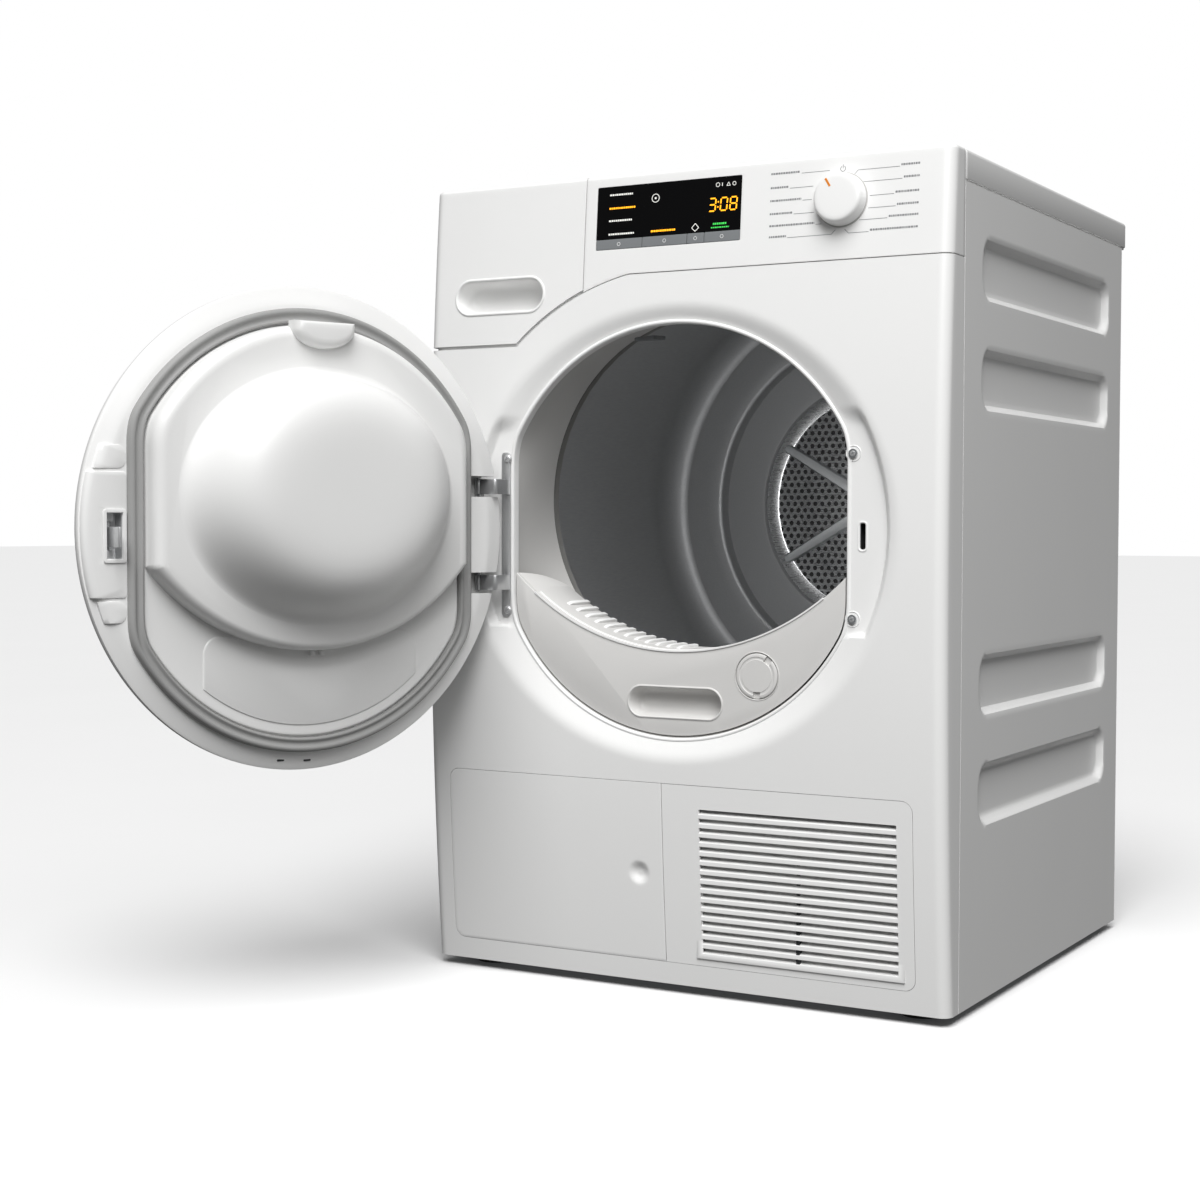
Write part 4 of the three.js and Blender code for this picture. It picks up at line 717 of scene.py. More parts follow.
def make_front_panel():
    panel = front_sheet("front_panel_sheet", SKIRT_Z, 752, SHEET, True, False, 2.6, 2.6)
    cut(
        panel,
        above_joint(0),
        prism("mouth_cut", cut_circle(MOUTH_R, MOUTH_HALF, MOUTH_Z), CROWN_Y - 20, SEAM_Y),
        prism("plinth_cut", rounded(-272, 265, 33, 221, 12), CROWN_Y - 20, SEAM_Y),
        prism("slot_cut", rounded(*LATCH_SLOT), CROWN_Y - 20, SEAM_Y),
        *[prism("screw_cut", circle(3.2, x, z, 32), CROWN_Y - 20, SEAM_Y) for x, z in SCREWS],
    )
    put(panel, "cabinet", ENAMEL, ["front_panel"], 30)
    lip = []
    for grow, depth in [
        (-0.6, 9), (-0.6, 0.8), (-0.2, -0.5), (0.7, -1.2), (1.9, -1.3), (3.0, -0.9), (3.6, -0.1),
        (3.8, 0.6), (3.8, 0.9), (0.4, 1.6), (0.4, 9)
    ]:
        loop = cut_circle(MOUTH_R + grow, MOUTH_HALF + grow, MOUTH_Z, 256)
        lip.append(at_y(loop, FLOOR_Y + depth))
    put(rings("mouth_lip", lip, True), "cabinet", ENAMEL, [], 50)
    slot_rim = []
    for grow, depth in [
        (2.0, 0.2), (2.0, -0.4), (1.3, -0.7), (0.3, -0.4), (-0.2, 0.3), (-0.2, 1.2), (0.4, 1.2),
        (0.4, 0.2)
    ]:
        x0, x1, z0, z1, r = LATCH_SLOT
        slot_rim.append(
            at_y(rounded(x0 - grow, x1 + grow, z0 - grow, z1 + grow, r + grow), FLOOR_Y + depth)
        )
    put(rings("latch_slot_rim", slot_rim, True), "cabinet", ENAMEL, [], 40)
    x0, x1, z0, z1, r = LATCH_SLOT
    well = bar("latch_slot_well", (x0 - 2, FLOOR_Y + 1.6, z0 - 2), (x1 + 2, FLOOR_Y + 16, z1 + 2))
    cut(well, bar("well_hollow", (x0 - 0.5, FLOOR_Y - 1, z0 - 0.5), (x1 + 0.5, FLOOR_Y + 15, z1 + 0.5)))
    put(soften(well, 0.3), "cabinet", BLACK_RUBBER, [], 30)
    flange = front_sheet("front_panel_top_flange", 655, 765, 1.0, False, False, 6, 6)
    shift = Matrix.Translation((0, 3.6 * MM, 0)) @ Matrix.Diagonal(((HALF - 3.6) / HALF, 1, 1, 1))
    flange.data.transform(shift)
    cut(flange, above_joint(8), below_joint(-8))
    put(flange, "cabinet", ENAMEL, [], 30)


def pan_head(name, x, z, y):
    """A pan-head screw with a cross recess, seen from the front; y is the seat under its head."""
    head = turned(
        name,
        [
            (0, y + 3), (2.4, y + 3), (2.4, y), (4.5, y), (4.5, y - 0.7), (4.1, y - 1.5), (3, y - 2.1),
            (1.4, y - 2.4), (0, y - 2.45)
        ],
        x, z, 48, False
    )
    for turn_by in (20, 110):
        t = math.radians(turn_by)
        arm = []
        for a, b in ((-2.3, -0.42), (2.3, -0.42), (2.3, 0.42), (-2.3, 0.42)):
            arm.append((x + a * math.cos(t) - b * math.sin(t), z + a * math.sin(t) + b * math.cos(t)))
        cut(head, prism("cross_recess", arm, y - 5, y - 1.0))
    return head


def make_fascia():
    d = (-92, 75, 772, 838, 1.6)
    whole = front_sheet("fascia_shell", 664, TOP_Z, PLASTIC, False, True, 4, 4)
    tank = whole.copy()
    tank.data = whole.data.copy()
    bpy.context.scene.collection.objects.link(tank)
    tank.name = "tank_front_shell"
    right_side = bar("right_side", (-105, CROWN_Y - 20, 640), (HALF + 20, SEAM_Y + 20, 900))
    left_side = bar("left_side", (-HALF - 20, CROWN_Y - 20, 640), (-106, SEAM_Y + 20, 900))
    keep(whole, right_side)
    cut(
        whole,
        below_joint(1),
        prism("display_cut", rounded(*d), CROWN_Y - 20, SEAM_Y - 2),
        knob_rod("shaft_cut", 5, -8, 9),
    )
    soften(whole, 0.5, 2, 60)
    put(whole, "cabinet", WHITE_ABS, ["fascia"], 35)
    keep(tank, left_side)
    grip = (-263, -155, 714, 748, 16.9)
    cut(tank, below_joint(3.5), on_front("grip_cut", [grown(grip, 1.5, -20), grown(grip, 1.5, 14)]))
    soften(tank, 0.5, 2, 60)
    put(tank, "tank", WHITE_ABS, ["tank_front"], 35)
    pocket = [
        (1.9, 26.8), (1.9, 2.6), (2.9, 0.4), (3.1, -0.2), (2.4, -0.9), (1.2, -1.1), (0.2, -0.6),
        (-0.7, 0.8), (-1.4, 4), (-2.2, 18), (-3.6, 22.4), (-6.5, 24.6), (-10, 25)
    ]
    tub = on_front("tank_grip_pocket", [grown(grip, g, depth) for g, depth in pocket], 16)
    put(tub, "tank", WHITE_ABS, [], 40)


def knob_point(across, y, along):
    """From the knob's own axes to the front: it stands square to the leaning face."""
    tilt = -math.atan((KNOB_Z - CROWN_Z) / FRONT_RADIUS)
    c, s = math.cos(tilt), math.sin(tilt)
    return (KNOB_X + across, front_y(KNOB_Z) + y * c - along * s, KNOB_Z + y * s + along * c)


def knob_turned(name, profile, sides=160, closed=False):
    loops = []
    for r, y in profile:
        loops.append([knob_point(x, y, z) for x, z in circle(max(r, 0.01), 0, 0, sides)])
    return rings(name, loops, closed)


def knob_rod(name, radius, y0, y1):
    return knob_turned(name, [(radius, y0), (radius, y1)], 48)


def make_knob():
    profile = [
        (0, 12), (3, 12), (3, -0.9), (25.2, -0.9), (26, -1.3), (26, -2.6), (25.7, -4), (24.9, -11.2),
        (24.6, -12.6), (23.9, -13.9), (22.7, -14.8), (21.2, -15.2), (18, -15.35), (9, -15.45), (0, -15.5)
    ]
    put(
        knob_turned("programme_knob_body", profile), "knob", DOOR_ABS, ["programme_knob"], 40,
    )
    seat = [(27.2, 0.6), (27.2, -0.25), (26.9, -0.55), (20, -0.55), (20, 0.6)]
    put(knob_turned("knob_seat", seat, 160, True), "cabinet", COLLAR_PP, [], 40)
    tick = []
    t = math.radians(122)
    c, s = math.cos(t), math.sin(t)
    for a, b in ((12.5, -1.1), (22, -1.1), (22, 1.1), (12.5, 1.1)):
        tick.append((a * c - b * s, a * s + b * c))
    loops = [[knob_point(x, y, z) for x, z in tick] for y in (-15.0, -15.55)]
    put(rings("knob_index_mark", loops), "knob", ORANGE_INK, [], 40)


def make_display():
    pane = (-91.8, 74.8, 783.2, 837.8, 1.4)
    glass = on_front(
        "display_pane",
        [
            grown(pane, -0.1, 3), grown(pane, 0, 2.6), grown(pane, 0, 0.3), grown(pane, -0.35, -0.05),
            grown(pane, -1.2, -0.1)
        ],
        6
    )
    put(glass, "cabinet", GLASS, ["display_glass"], 30)
    edges = [-91.8, -37.3, 14.7, 34.3, 74.8]
    for i in range(4):
        key = (edges[i] + 0.25, edges[i + 1] - 0.25, 772.3, 782.7, 1.0)
        plate = on_front(
            "touch_key_%d" % (i + 1),
            [
                grown(key, -0.1, 3), grown(key, 0, 2.6), grown(key, 0, 0.2), grown(key, -0.4, -0.15),
                grown(key, -1.2, -0.2)
            ],
            6
        )
        put(plate, "cabinet", KEY_GREY, [], 30)
    amber, white, green, grey = [], [], [], []
    digit_on = {"3": "abgcd", "0": "abcdef", "8": "abcdefg"}
    segment = {
        "a": (0.12, 0.88, 1, 1), "g": (0.12, 0.88, 0.5, 0.5), "d": (0.12, 0.88, 0, 0),
        "f": (0, 0, 0.56, 0.94), "b": (1, 1, 0.56, 0.94), "e": (0, 0, 0.06, 0.44), "c": (1, 1, 0.06, 0.44),
    }
    for glyph, left in (("3", 38.5), ("0", 51.5), ("8", 62.2)):
        for part in digit_on[glyph]:
            u0, u1, v0, v1 = segment[part]
            slant = 0.9
            a = (left + 7.2 * u0 + slant * v0, 803.6 + 12.8 * v0)
            b = (left + 7.2 * u1 + slant * v1, 803.6 + 12.8 * v1)
            amber += strip([a, b], 1.35)
    amber += [circle(0.8, 48.9, 807.4, 16), circle(0.8, 49.2, 812.6, 16)]
    for z, tone in ((829, white), (815, amber), (802, white), (788, white)):
        tone += word_marks(-77, z, 26 + z % 9, 1.8, int(z))
    amber += word_marks(-27, 788, 28, 1.9, 5)
    green += word_marks(44, 790.5, 15, 1.9, 8) + word_marks(42, 786.8, 20, 1.3, 9)
    white += ring_at(-23, 822, 4.2, 0.7) + [circle(1.1, -23, 822, 16)]
    white += strip([(24, 792.5), (28, 788), (24, 783.9 + 0.6), (20, 788), (24, 792.5)], 0.7)
    white += ring_at(48, 830, 2.0, 0.55) + strip([(53, 828.4), (53, 831.6)], 0.8)
    white += strip(
        [(58, 828.4), (60, 831.8), (62, 828.4), (58, 828.4)], 0.55
    ) + ring_at(66.4, 830, 1.8, 0.55)
    glass_face = lambda z: front_y(z) - 0.08
    for name, marks, finish in (
        ("display_time_and_amber_marks", amber, AMBER),
        ("display_white_marks", white, WHITE_GLOW),
        ("display_green_marks", green, GREEN_GLOW),
    ):
        printed(name, marks, finish, "cabinet", 0.08, glass_face)
    for centre in (-64.5, -11, 24.5, 54.5):
        grey += ring_at(centre, 777.5, 1.7, 0.45)
    printed("touch_key_marks", grey, WHITE_ABS, "cabinet", 0.3)
    make_programme_marks()


def make_programme_marks():
    lines = []
    words = []
    left = [
        (834, 140, 170), (820, 128, 153), (807, 142, 152), (794, 133, 155), (782, 157, 163),
        (771, 127, 178)
    ]
    right_side = [
        (832, 200, 243), (820, 205, 246), (806, 213, 238), (794, 212, 240), (783, 203, 232),
        (771, 192, 213)
    ]
    for i, (z, a, b) in enumerate(left):
        points = [(a, z), (b - 4, z), (b, z + 4)] if z == 771 else [(a, z), (b, z)]
        lines += strip(points, 0.5)
        words += word_marks(107, z + 1.6, a - 108.5, 1.9, 17 + i)
    for i, (z, a, b) in enumerate(right_side):
        points = [(a, z), (b, z)]
        if z in (832, 771):
            points = [(a - 4, z + (4 if z == 771 else -4))] + points
        lines += strip(points, 0.5)
        words += word_marks(b + 1.5, z + 1.6, 262 - b, 1.9, 41 + i)
    lines += ring_at(184, 834.6, 2.6, 0.6, 120, 420) + strip([(184, 834.8), (184, 838.6)], 0.6)
    printed("programme_leader_lines", lines, GREY_INK)
    printed("programme_legends", words, GREY_INK)


def make_plinth():
    split = -9.5
    flap_end = split - 0.5

    def dimpled(x, z):
        r = math.hypot(x + 38, z - 125)
        hollow = 4.0 * (1 - smooth_step(2, 13.5, r))
        return (x, front_y(z) + hollow, z)

    xs = span(-284, -54, 4) + span(-52, -24, 1.2)[1:] + span(-24, 0, 4)[1:]
    zs = span(28, 110, 4) + span(111, 139, 1.2)[1:] + span(140, 228, 4)[1:]
    flap = sheet_patch("plinth_flap_face", xs, zs, dimpled, PLASTIC)
    outline = rounded(*PLINTH_OUTLINE)
    keep(flap, prism("flap_outline", outline, CROWN_Y - 20, SEAM_Y))
    keep(flap, bar("flap_side", (-280, CROWN_Y - 20, 20), (flap_end, SEAM_Y, 240)))
    soften(flap, 0.6, 2, 60)
    put(flap, "flap", ENAMEL, ["plinth_flap"], 35)
    catch = bar("flap_catch", (-23.5, -291, 118), (-19.5, -269, 132))
    put(soften(catch, 0.8), "flap", WHITE_ABS, [], 35)

    face = sheet_patch(
        "grille_frame", span(-20, 280, 4), span(28, 228, 4), lambda x, z: (x, front_y(z), z), PLASTIC
    )
    keep(face, prism("grille_outline", outline, CROWN_Y - 20, SEAM_Y))
    cut(
        face,
        bar("grille_side", (-40, CROWN_Y - 20, 20), (split + 0.5, SEAM_Y, 240)),
        prism("louvre_field", rounded(33, 248, 47.1, 196.5, 1.2, 4), CROWN_Y - 20, SEAM_Y),
    )
    soften(face, 0.6, 2, 60)
    put(face, "cabinet", ENAMEL, ["grille_panel"], 35)
    field_back = bar("grille_back_frame", (27, -290, 41), (254, -287, 203))
    cut(field_back, bar("grille_back_window", (33.5, -300, 47), (247.5, -280, 197)))
    put(soften(field_back, 0.5), "cabinet", WHITE_ABS, [], 35)
    for i in range(16):
        top = 196.5 - i * 9.65 - 5.0
        low = top - 4.65
        y0 = front_y((top + low) / 2)
        section = [
            (0, top - 0.4), (0, low + 0.5), (0.5, low),
            (10.2, top + 3.2), (9.4, top + 4.1), (0.8, top),
        ]
        loops = [[(x, y0 + dy, z) for dy, z in section] for x in (32.5, 248.5)]
        put(rings("louvre_blade_%02d" % (i + 1), loops), "cabinet", ENAMEL, [], 40)
    post = bar("grille_post", (138, -289, 41), (142, -283, 214))
    put(soften(post, 0.5), "cabinet", DARK_PP_AND_SHADE, [], 35)


def make_side_panels():
    bands = [(710, 771), (601, 662), (297, 358), (187, 248)]
    y_mid, y_half = (-205 + 235) / 2, 220
    y_start, y_end = SEAM_Y + 1.3, 286.2

    def pressed(y, z):
        deepest = 0.0
        for low, high in bands:
            qy = abs(y - y_mid) - y_half + 22
            qz = abs(z - (low + high) / 2) - (high - low) / 2 + 22
            away = math.hypot(max(qy, 0), max(qz, 0)) + min(max(qy, qz), 0) - 22
            deepest = max(deepest, smooth_step(-1.0, 7.5, -away))
        return 8 * deepest

    ys = span(y_start, y_end, 3.2)
    zs = span(SKIRT_Z, 818.0, 3.2)
    for side, name in ((1, "side_panel_right"), (-1, "side_panel_left")):
        order = ys if side > 0 else list(reversed(ys))
        panel = sheet_patch(
            name + "_sheet", order, zs, lambda y, z: (side * (HALF - pressed(y, z)), y, z), SHEET
        )
        put(panel, "cabinet", ENAMEL, [name], 30)


def make_worktop():
    loops = []
    for inset, z in [(1.6, 818.5), (1.6, 820.4), (0.3, 820.9), (0, 821.6)] + [
        (
            4.5 - 4.5 * math.cos(math.pi / 2 * i / 8), 845.5 + 4.5 * math.sin(math.pi / 2 * i / 8)
        ) for i in range(9)
    ]:
        plan = rounded(
            -HALF + inset, HALF - inset, SEAM_Y + 1.1 + min(inset, 1.0), 307 - inset, max(6 - inset, 1.2)
        )
        loops.append([(x, y, z) for x, y in plan])
    put(rings("worktop_slab", loops), "cabinet", ENAMEL, ["worktop"], 35)


make_front_panel()
make_fascia()
make_knob()
make_display()
make_plinth()
make_side_panels()
make_worktop()

# ------------------------------------------------------------------ the door, drawn closed
def open_up(piece):
    """Turns a piece that was drawn on the closed door to the open door's place."""
    swing = math.radians(OPEN_ANGLE)
    pivot = Vector((HINGE[0] * MM, HINGE[1] * MM, 0))
    turn_out = Matrix.Translation(pivot) @ Matrix.Rotation(-swing, 4, "Z") @ Matrix.Translation(-pivot)
    piece.data.transform(turn_out)
    return piece


def door_piece(piece, finish, stands_for=(), smooth_angle=35, body="door"):
    return put(open_up(piece), body, finish, stands_for, smooth_angle)


def oval(t, sides=256):
    """An outline t mm inside the liner's edge."""
    return cut_circle(203 - t, 178 - t, MOUTH_Z, sides)


def fused(name, first, *others):
    first.name = name
    return join(first, *others)


def make_door_shell():
    outer = [
        (0, -329), (150, -329), (214, -329), (222, -328.9), (226.5, -328.5), (230.5, -327.6),
        (234, -325.9), (236.8, -323.5), (238.8, -320.6), (239.8, -317.4), (240, -314.5), (240, -312.4),
        (239.6, -311.7)
    ]
    inner = [
        (237.9, -311.7), (237.5, -312.2), (237.5, -317), (235.2, -322), (230, -325.4), (221, -327),
        (0, -327)
    ]
    shell = turned("door_shell_outer", outer + inner, 0, DOOR_Z, 256, False)
    for z in EAR_LOW_Z:
        cut(shell, bar("ear_slot", (-245, -326.3, z - 3), (-215, -310, z + EAR_TALL + 3)))
    door_piece(shell, DOOR_ABS, ["door_outer_shell"], 35)
    profile = [
        (240, -311.3), (239.9, -310.8), (239.2, -310.4), (237, -309.7), (228, -306.6), (223, -305),
        (220.4, -304.45), (217, -304.3), (120, -304.3), (120, -306.8), (219, -306.8), (230.4, -311.4)
    ]
    ring = turned("door_ring_inner", profile, 0, DOOR_Z, 256, True)
    cut(ring, prism("liner_cut", cut_circle(199, 174, MOUTH_Z), -330, -290))
    cut(ring, bar("housing_cut", (196.7, -330, 451.7), (217.3, -290, 499.3)))
    for z in EAR_LOW_Z:
        cut(ring, bar("ear_slot", (-245, -330, z - 3), (-194.5, -290, z + EAR_TALL + 3)))
    door_piece(ring, DOOR_ABS, ["door_ring"], 35)
    land = turned(
        "door_latch_land",
        [
            (238.6, -311.5), (238.4, -308.4), (237.2, -305.6), (234.8, -303.9), (231.5, -303.3),
            (226, -303.2), (150, -303.2), (150, -305), (232, -306)
        ],
        0, DOOR_Z, 256, True
    )
    keep(land, prism("land_zone", rounded(195.2, 260, 417.5, 535.5, 3), -330, -290))
    cut(land, bar("housing_cut", (196.7, -330, 451.7), (217.3, -290, 499.3)))
    door_piece(soften(land, 0.7, 2, 50), DOOR_ABS, [], 40)
    for z0, z1, name in ((538.5, 560, "upper"), (394, 414.5, "lower")):
        wing = turned(
            "door_land_wing_" + name,
            [
                (234, -309.6), (233, -306.6), (229, -304.4), (224, -303.6), (150, -303.6), (150, -305),
                (224, -306)
            ],
            0, DOOR_Z, 256, True
        )
        keep(wing, prism("wing_zone", rounded(195.6, 260, z0, z1, 8), -330, -290))
        door_piece(soften(wing, 0.8, 2, 50), DOOR_ABS, [], 40)


def make_door_seal():
    section = [
        (0, -304), (0, -299.6), (0.8, -297.6), (2.4, -296.4), (4.2, -296.1), (5.6, -296.9), (6.4, -298.2),
        (8.6, -298.6), (10.4, -298.2), (11.4, -297), (12.6, -296.6), (13.8, -297.2), (14.3, -298.6),
        (14.4, -304)
    ]
    loops = [at_y(cut_circle(219.5 - t, 194.2 - t, MOUTH_Z, 320), y) for t, y in section]
    door_piece(rings("door_seal_lip", loops, True), SEAL_TPE, ["door_seal"], 50)


def make_door_liner():
    plate = rings(
        "liner_plate",
        [at_y(oval(t), y) for t, y in ((0, -304.2), (0, -302.2), (0.4, -301.4), (1.2, -301), (3, -301))]
    )
    raised = rings(
        "liner_raised",
        [
            at_y(oval(t), y) for t,
            y in (
                (0.2, -303.9), (0.6, -290), (1.2, -285), (2.4, -281.2), (4.6, -278.4), (7.6, -276.9),
                (11, -276.3), (13, -276.3)
            )
        ],
    )
    smile = [
        (231.5, -312), (230, -300), (229.6, -286), (228.8, -282.4), (227, -279.2), (224.4, -277.2),
        (221.4, -276.2), (217, -275.9)
    ]
    keep(raised, turned("smile_edge", smile, 0, SMILE_Z, 320, False))
    bulge = [
        (160, -279), (157, -276.6), (154, -276.0), (150.5, -274.6), (147, -271.6), (143.5, -267),
        (139.5, -260.5), (135, -252.6), (130, -244.6), (124, -236.8), (117, -229.8), (108, -223.6),
        (98, -219.4), (86, -216.8), (72, -215.5), (56, -215.05), (40, -215)
    ]
    loops = []
    for wide, y in bulge:
        share = smooth_step(-276, -222, y)
        flat = 0.82 + 0.04 * share
        zc = DRUM_Z + 6 * share
        loops.append([(x, y, zc + flat * z) for x, z in circle(wide, 0, 0, 256)])
    hood = []
    for g, y in ((0, -282), (0.4, -272), (1.4, -268.6), (3.2, -266.2), (6.2, -264.8), (9.5, -264.4)):
        arc = [math.radians(180 + 180 * i / 32) for i in range(33)]
        low_edge = [((34 - g) * math.cos(t), 677 + (19 - g) * math.sin(t)) for t in arc]
        hood.append(at_y(low_edge + [(34 - g, 684.5 - g * 0.4), (g - 34, 684.5 - g * 0.4)], y))
    liner = fused(
        "door_liner_shell", plate, raised, rings("liner_bulge", loops), rings("liner_hood", hood)
    )
    door_piece(liner, LINER_PP, ["door_liner"], 40)
    panel_loops = [
        at_y(rounded(-125 - g, 118 + g, 240, 379 + g, 18 + g, 12), y) for g,
        y in ((0, -303), (0, -300.7), (-0.7, -300.1), (-1.8, -299.9), (-3, -299.9))
    ]
    emboss = rings("liner_lower_panel", panel_loops)
    keep(emboss, prism("panel_edge", cut_circle(192, 167, MOUTH_Z), -310, -290))
    cut(emboss, prism("smile_clear", circle(229, 0, SMILE_Z, 256), -310, -290))
    door_piece(soften(emboss, 0.4, 2, 50), LINER_PP, [], 40)
    for i, x in enumerate((-14, -3)):
        tab = bar("liner_clip_tab_%d" % (i + 1), (x, -302, 356.5), (x + 5, -296, 361.5))
        door_piece(soften(tab, 0.8), LINER_PP, [], 40)
    # Dark plates on the rim are painted shade where the drain slots open.
    for i, x in enumerate((30, 0)):
        slot = drain_slot_shade_plate(x)
        door_piece(slot, DARK_PP_AND_SHADE, [], 40)
        slot.name = "door_drain_slot_painted_shade_%d" % (i + 1)


def drain_slot_shade_plate(x):
    """A dark plate low on the door's rim: painted shade where a small drain slot opens."""
    z = DOOR_Z - math.sqrt(230.5**2 - x**2)
    return prism("drain", rounded(x - 4, x + 4, z - 1.1, z + 1.1, 1), -308.6, -307.2)


def make_latch():
    frame_loops = []
    for g, y in (
        (-0.2, -319), (-0.2, -303.4), (1.0, -302.9), (1.7, -302.4), (1.5, -301.7), (0.2, -301.5),
        (-1.6, -301.7), (-2.0, -302.4), (-2.0, -319)
    ):
        frame_loops.append(at_y(rounded(197 - g, 217 + g, 452 - g, 499 + g, max(1.5 + g, 0.3), 6), y))
    door_piece(rings("latch_frame", frame_loops, True), DOOR_ABS, [], 40)
    tub = bar("latch_housing_tub", (197.4, -320.2, 452.4), (216.6, -304.5, 498.6))
    cut(tub, bar("hollow", (199.2, -318.6, 454.2), (214.8, -300, 496.8)))
    join(
        tub, bar("post_low", (205, -319.4, 453), (213, -309.5, 462)),
        bar("post_high", (205, -319.4, 489), (213, -309.5, 498))
    )
    door_piece(soften(tub, 0.5), BRIGHT_ZINC, ["door_latch_housing"], 40)
    hook_x, pin_y = 209, -313.3
    outline = [
        (-2.3, -2.5), (2.3, -2.5), (2.3, 26.3), (1.9, 27.6), (1, 28.3), (0.2, 27.6), (-2.3, 24.3),
        (-2.3, 22.3), (-0.5, 22.3), (-0.5, 4), (-2.3, 2.5)
    ]
    claw = upright("latch_hook_claw", [(hook_x + x, pin_y + y) for x, y in outline], 465, 484)
    soften(claw, 0.35, 2, 40)
    pin = upright("hook_pin", circle(1.6, hook_x, pin_y, 24), 455.5, 495.5)
    join(claw, pin)
    door_piece(claw, BRIGHT_ZINC, ["latch_hook"], 40, "latch")


# ------------------------------------------------------------------ hinge and strike
def make_hinge():
    x1 = -196.5
    plate = prism("hinge_bracket_plate", rounded(x1 - 10.5, x1, 388, 564, 4), -296.9, -295.3)
    outer_bend = [
        (x1 - 4 + 4 * math.sin(t), -320.3 - 4 * math.cos(t))
        for t in [math.pi / 2 * i / 8 for i in range(9)]
    ]
    ear = [(x1, -296.2)] + list(reversed(outer_bend)) + [
        (HINGE[0], -324.3), (HINGE[0], -321.3), (x1 - 4.4, -321.3), (x1 - 3, -320.2), (x1 - 3, -296.2)
    ]
    for z in EAR_LOW_Z:
        strap = upright("ear", ear, z, z + EAR_TALL)
        knuckle = upright("knuckle", circle(3.6, HINGE[0], HINGE[1], 32), z, z + EAR_TALL)
        join(plate, strap, knuckle)
    cut(plate, upright("pin_bore", circle(2.4, HINGE[0], HINGE[1], 24), 400, 550))
    soften(plate, 0.4, 2, 50)
    put(plate, "cabinet", NICKEL, ["hinge_bracket"], 40)
    for x, z in SCREWS:
        left = x < 0
        seat = -296.9 if left else FLOOR_Y - 0.5
        name = "panel_screw_%s_%s" % ("left" if left else "right", "low" if z < 480 else "high")
        put(pan_head(name, x, z, seat), "cabinet", BRIGHT_ZINC, [], 40)
        rim = []
        for r, depth in ((8.2, 0.8), (8.2, -0.15), (7.6, -0.6), (6.9, -0.3), (6.3, 0.1), (6.2, 0.8)):
            rim.append((r, FLOOR_Y + depth))
        if not left:
            put(
                turned("screw_ring_" + name[12:], rim, x, z, 64, True), "cabinet", ENAMEL, [], 50,
            )


# ------------------------------------------------------------------ collar, filter and drum
def throat(grow, share):
    """The collar's outline between the mouth (0) and the drum's rim (1)."""
    loop = []
    mouth = cut_circle(MOUTH_R + grow, MOUTH_HALF + grow, MOUTH_Z, 256)
    for i, (x, z) in enumerate(mouth):
        t = 2 * math.pi * i / 256
        rx = (COLLAR_REAR_R + grow) * math.cos(t)
        rz = DRUM_Z + (COLLAR_REAR_R + grow) * math.sin(t)
        loop.append((x + (rx - x) * share, z + (rz - z) * share))
    return loop


def throat_y(share):
    return COLLAR_FRONT_Y + (COLLAR_REAR_Y - COLLAR_FRONT_Y) * share


def make_collar():
    shares = [i / 14 for i in range(15)]
    inner = [at_y(throat(0, s), throat_y(s)) for s in shares]
    outer = [at_y(throat(3, s), throat_y(s)) for s in reversed(shares)]
    collar = rings("door_collar_sleeve", inner + outer, True)
    cut(collar, bar("airway", (-60, -265, 200), (60, -223.3, 360)))
    put(collar, "cabinet", COLLAR_PP, ["door_collar"], 35)
    y = -262
    mark = [(-62, y - 4), (-40, y - 1), (-34, y + 14)]
    wedge = rings(
        "collar_mark", [[(x, dy, height - 0.00065 * x * x) for x, dy in mark] for height in (686, 681.5)]
    )
    put(soften(wedge, 0.8), "cabinet", KEY_GREY, [], 40)


CREST_Z = 627


def filter_slice(name, inset, y_low, y_high, crest=270):
    loops = []
    for y in (y_low, (y_low + y_high) / 2, y_high):
        share = (y - COLLAR_FRONT_Y) / (COLLAR_REAR_Y - COLLAR_FRONT_Y)
        loops.append(at_y(throat(-2.5 - inset, max(share, 0)), y))
    body = rings(name, loops)
    return cut(body, prism("crest", circle(crest, 0, CREST_Z, 384), y_low - 5, y_high + 5))


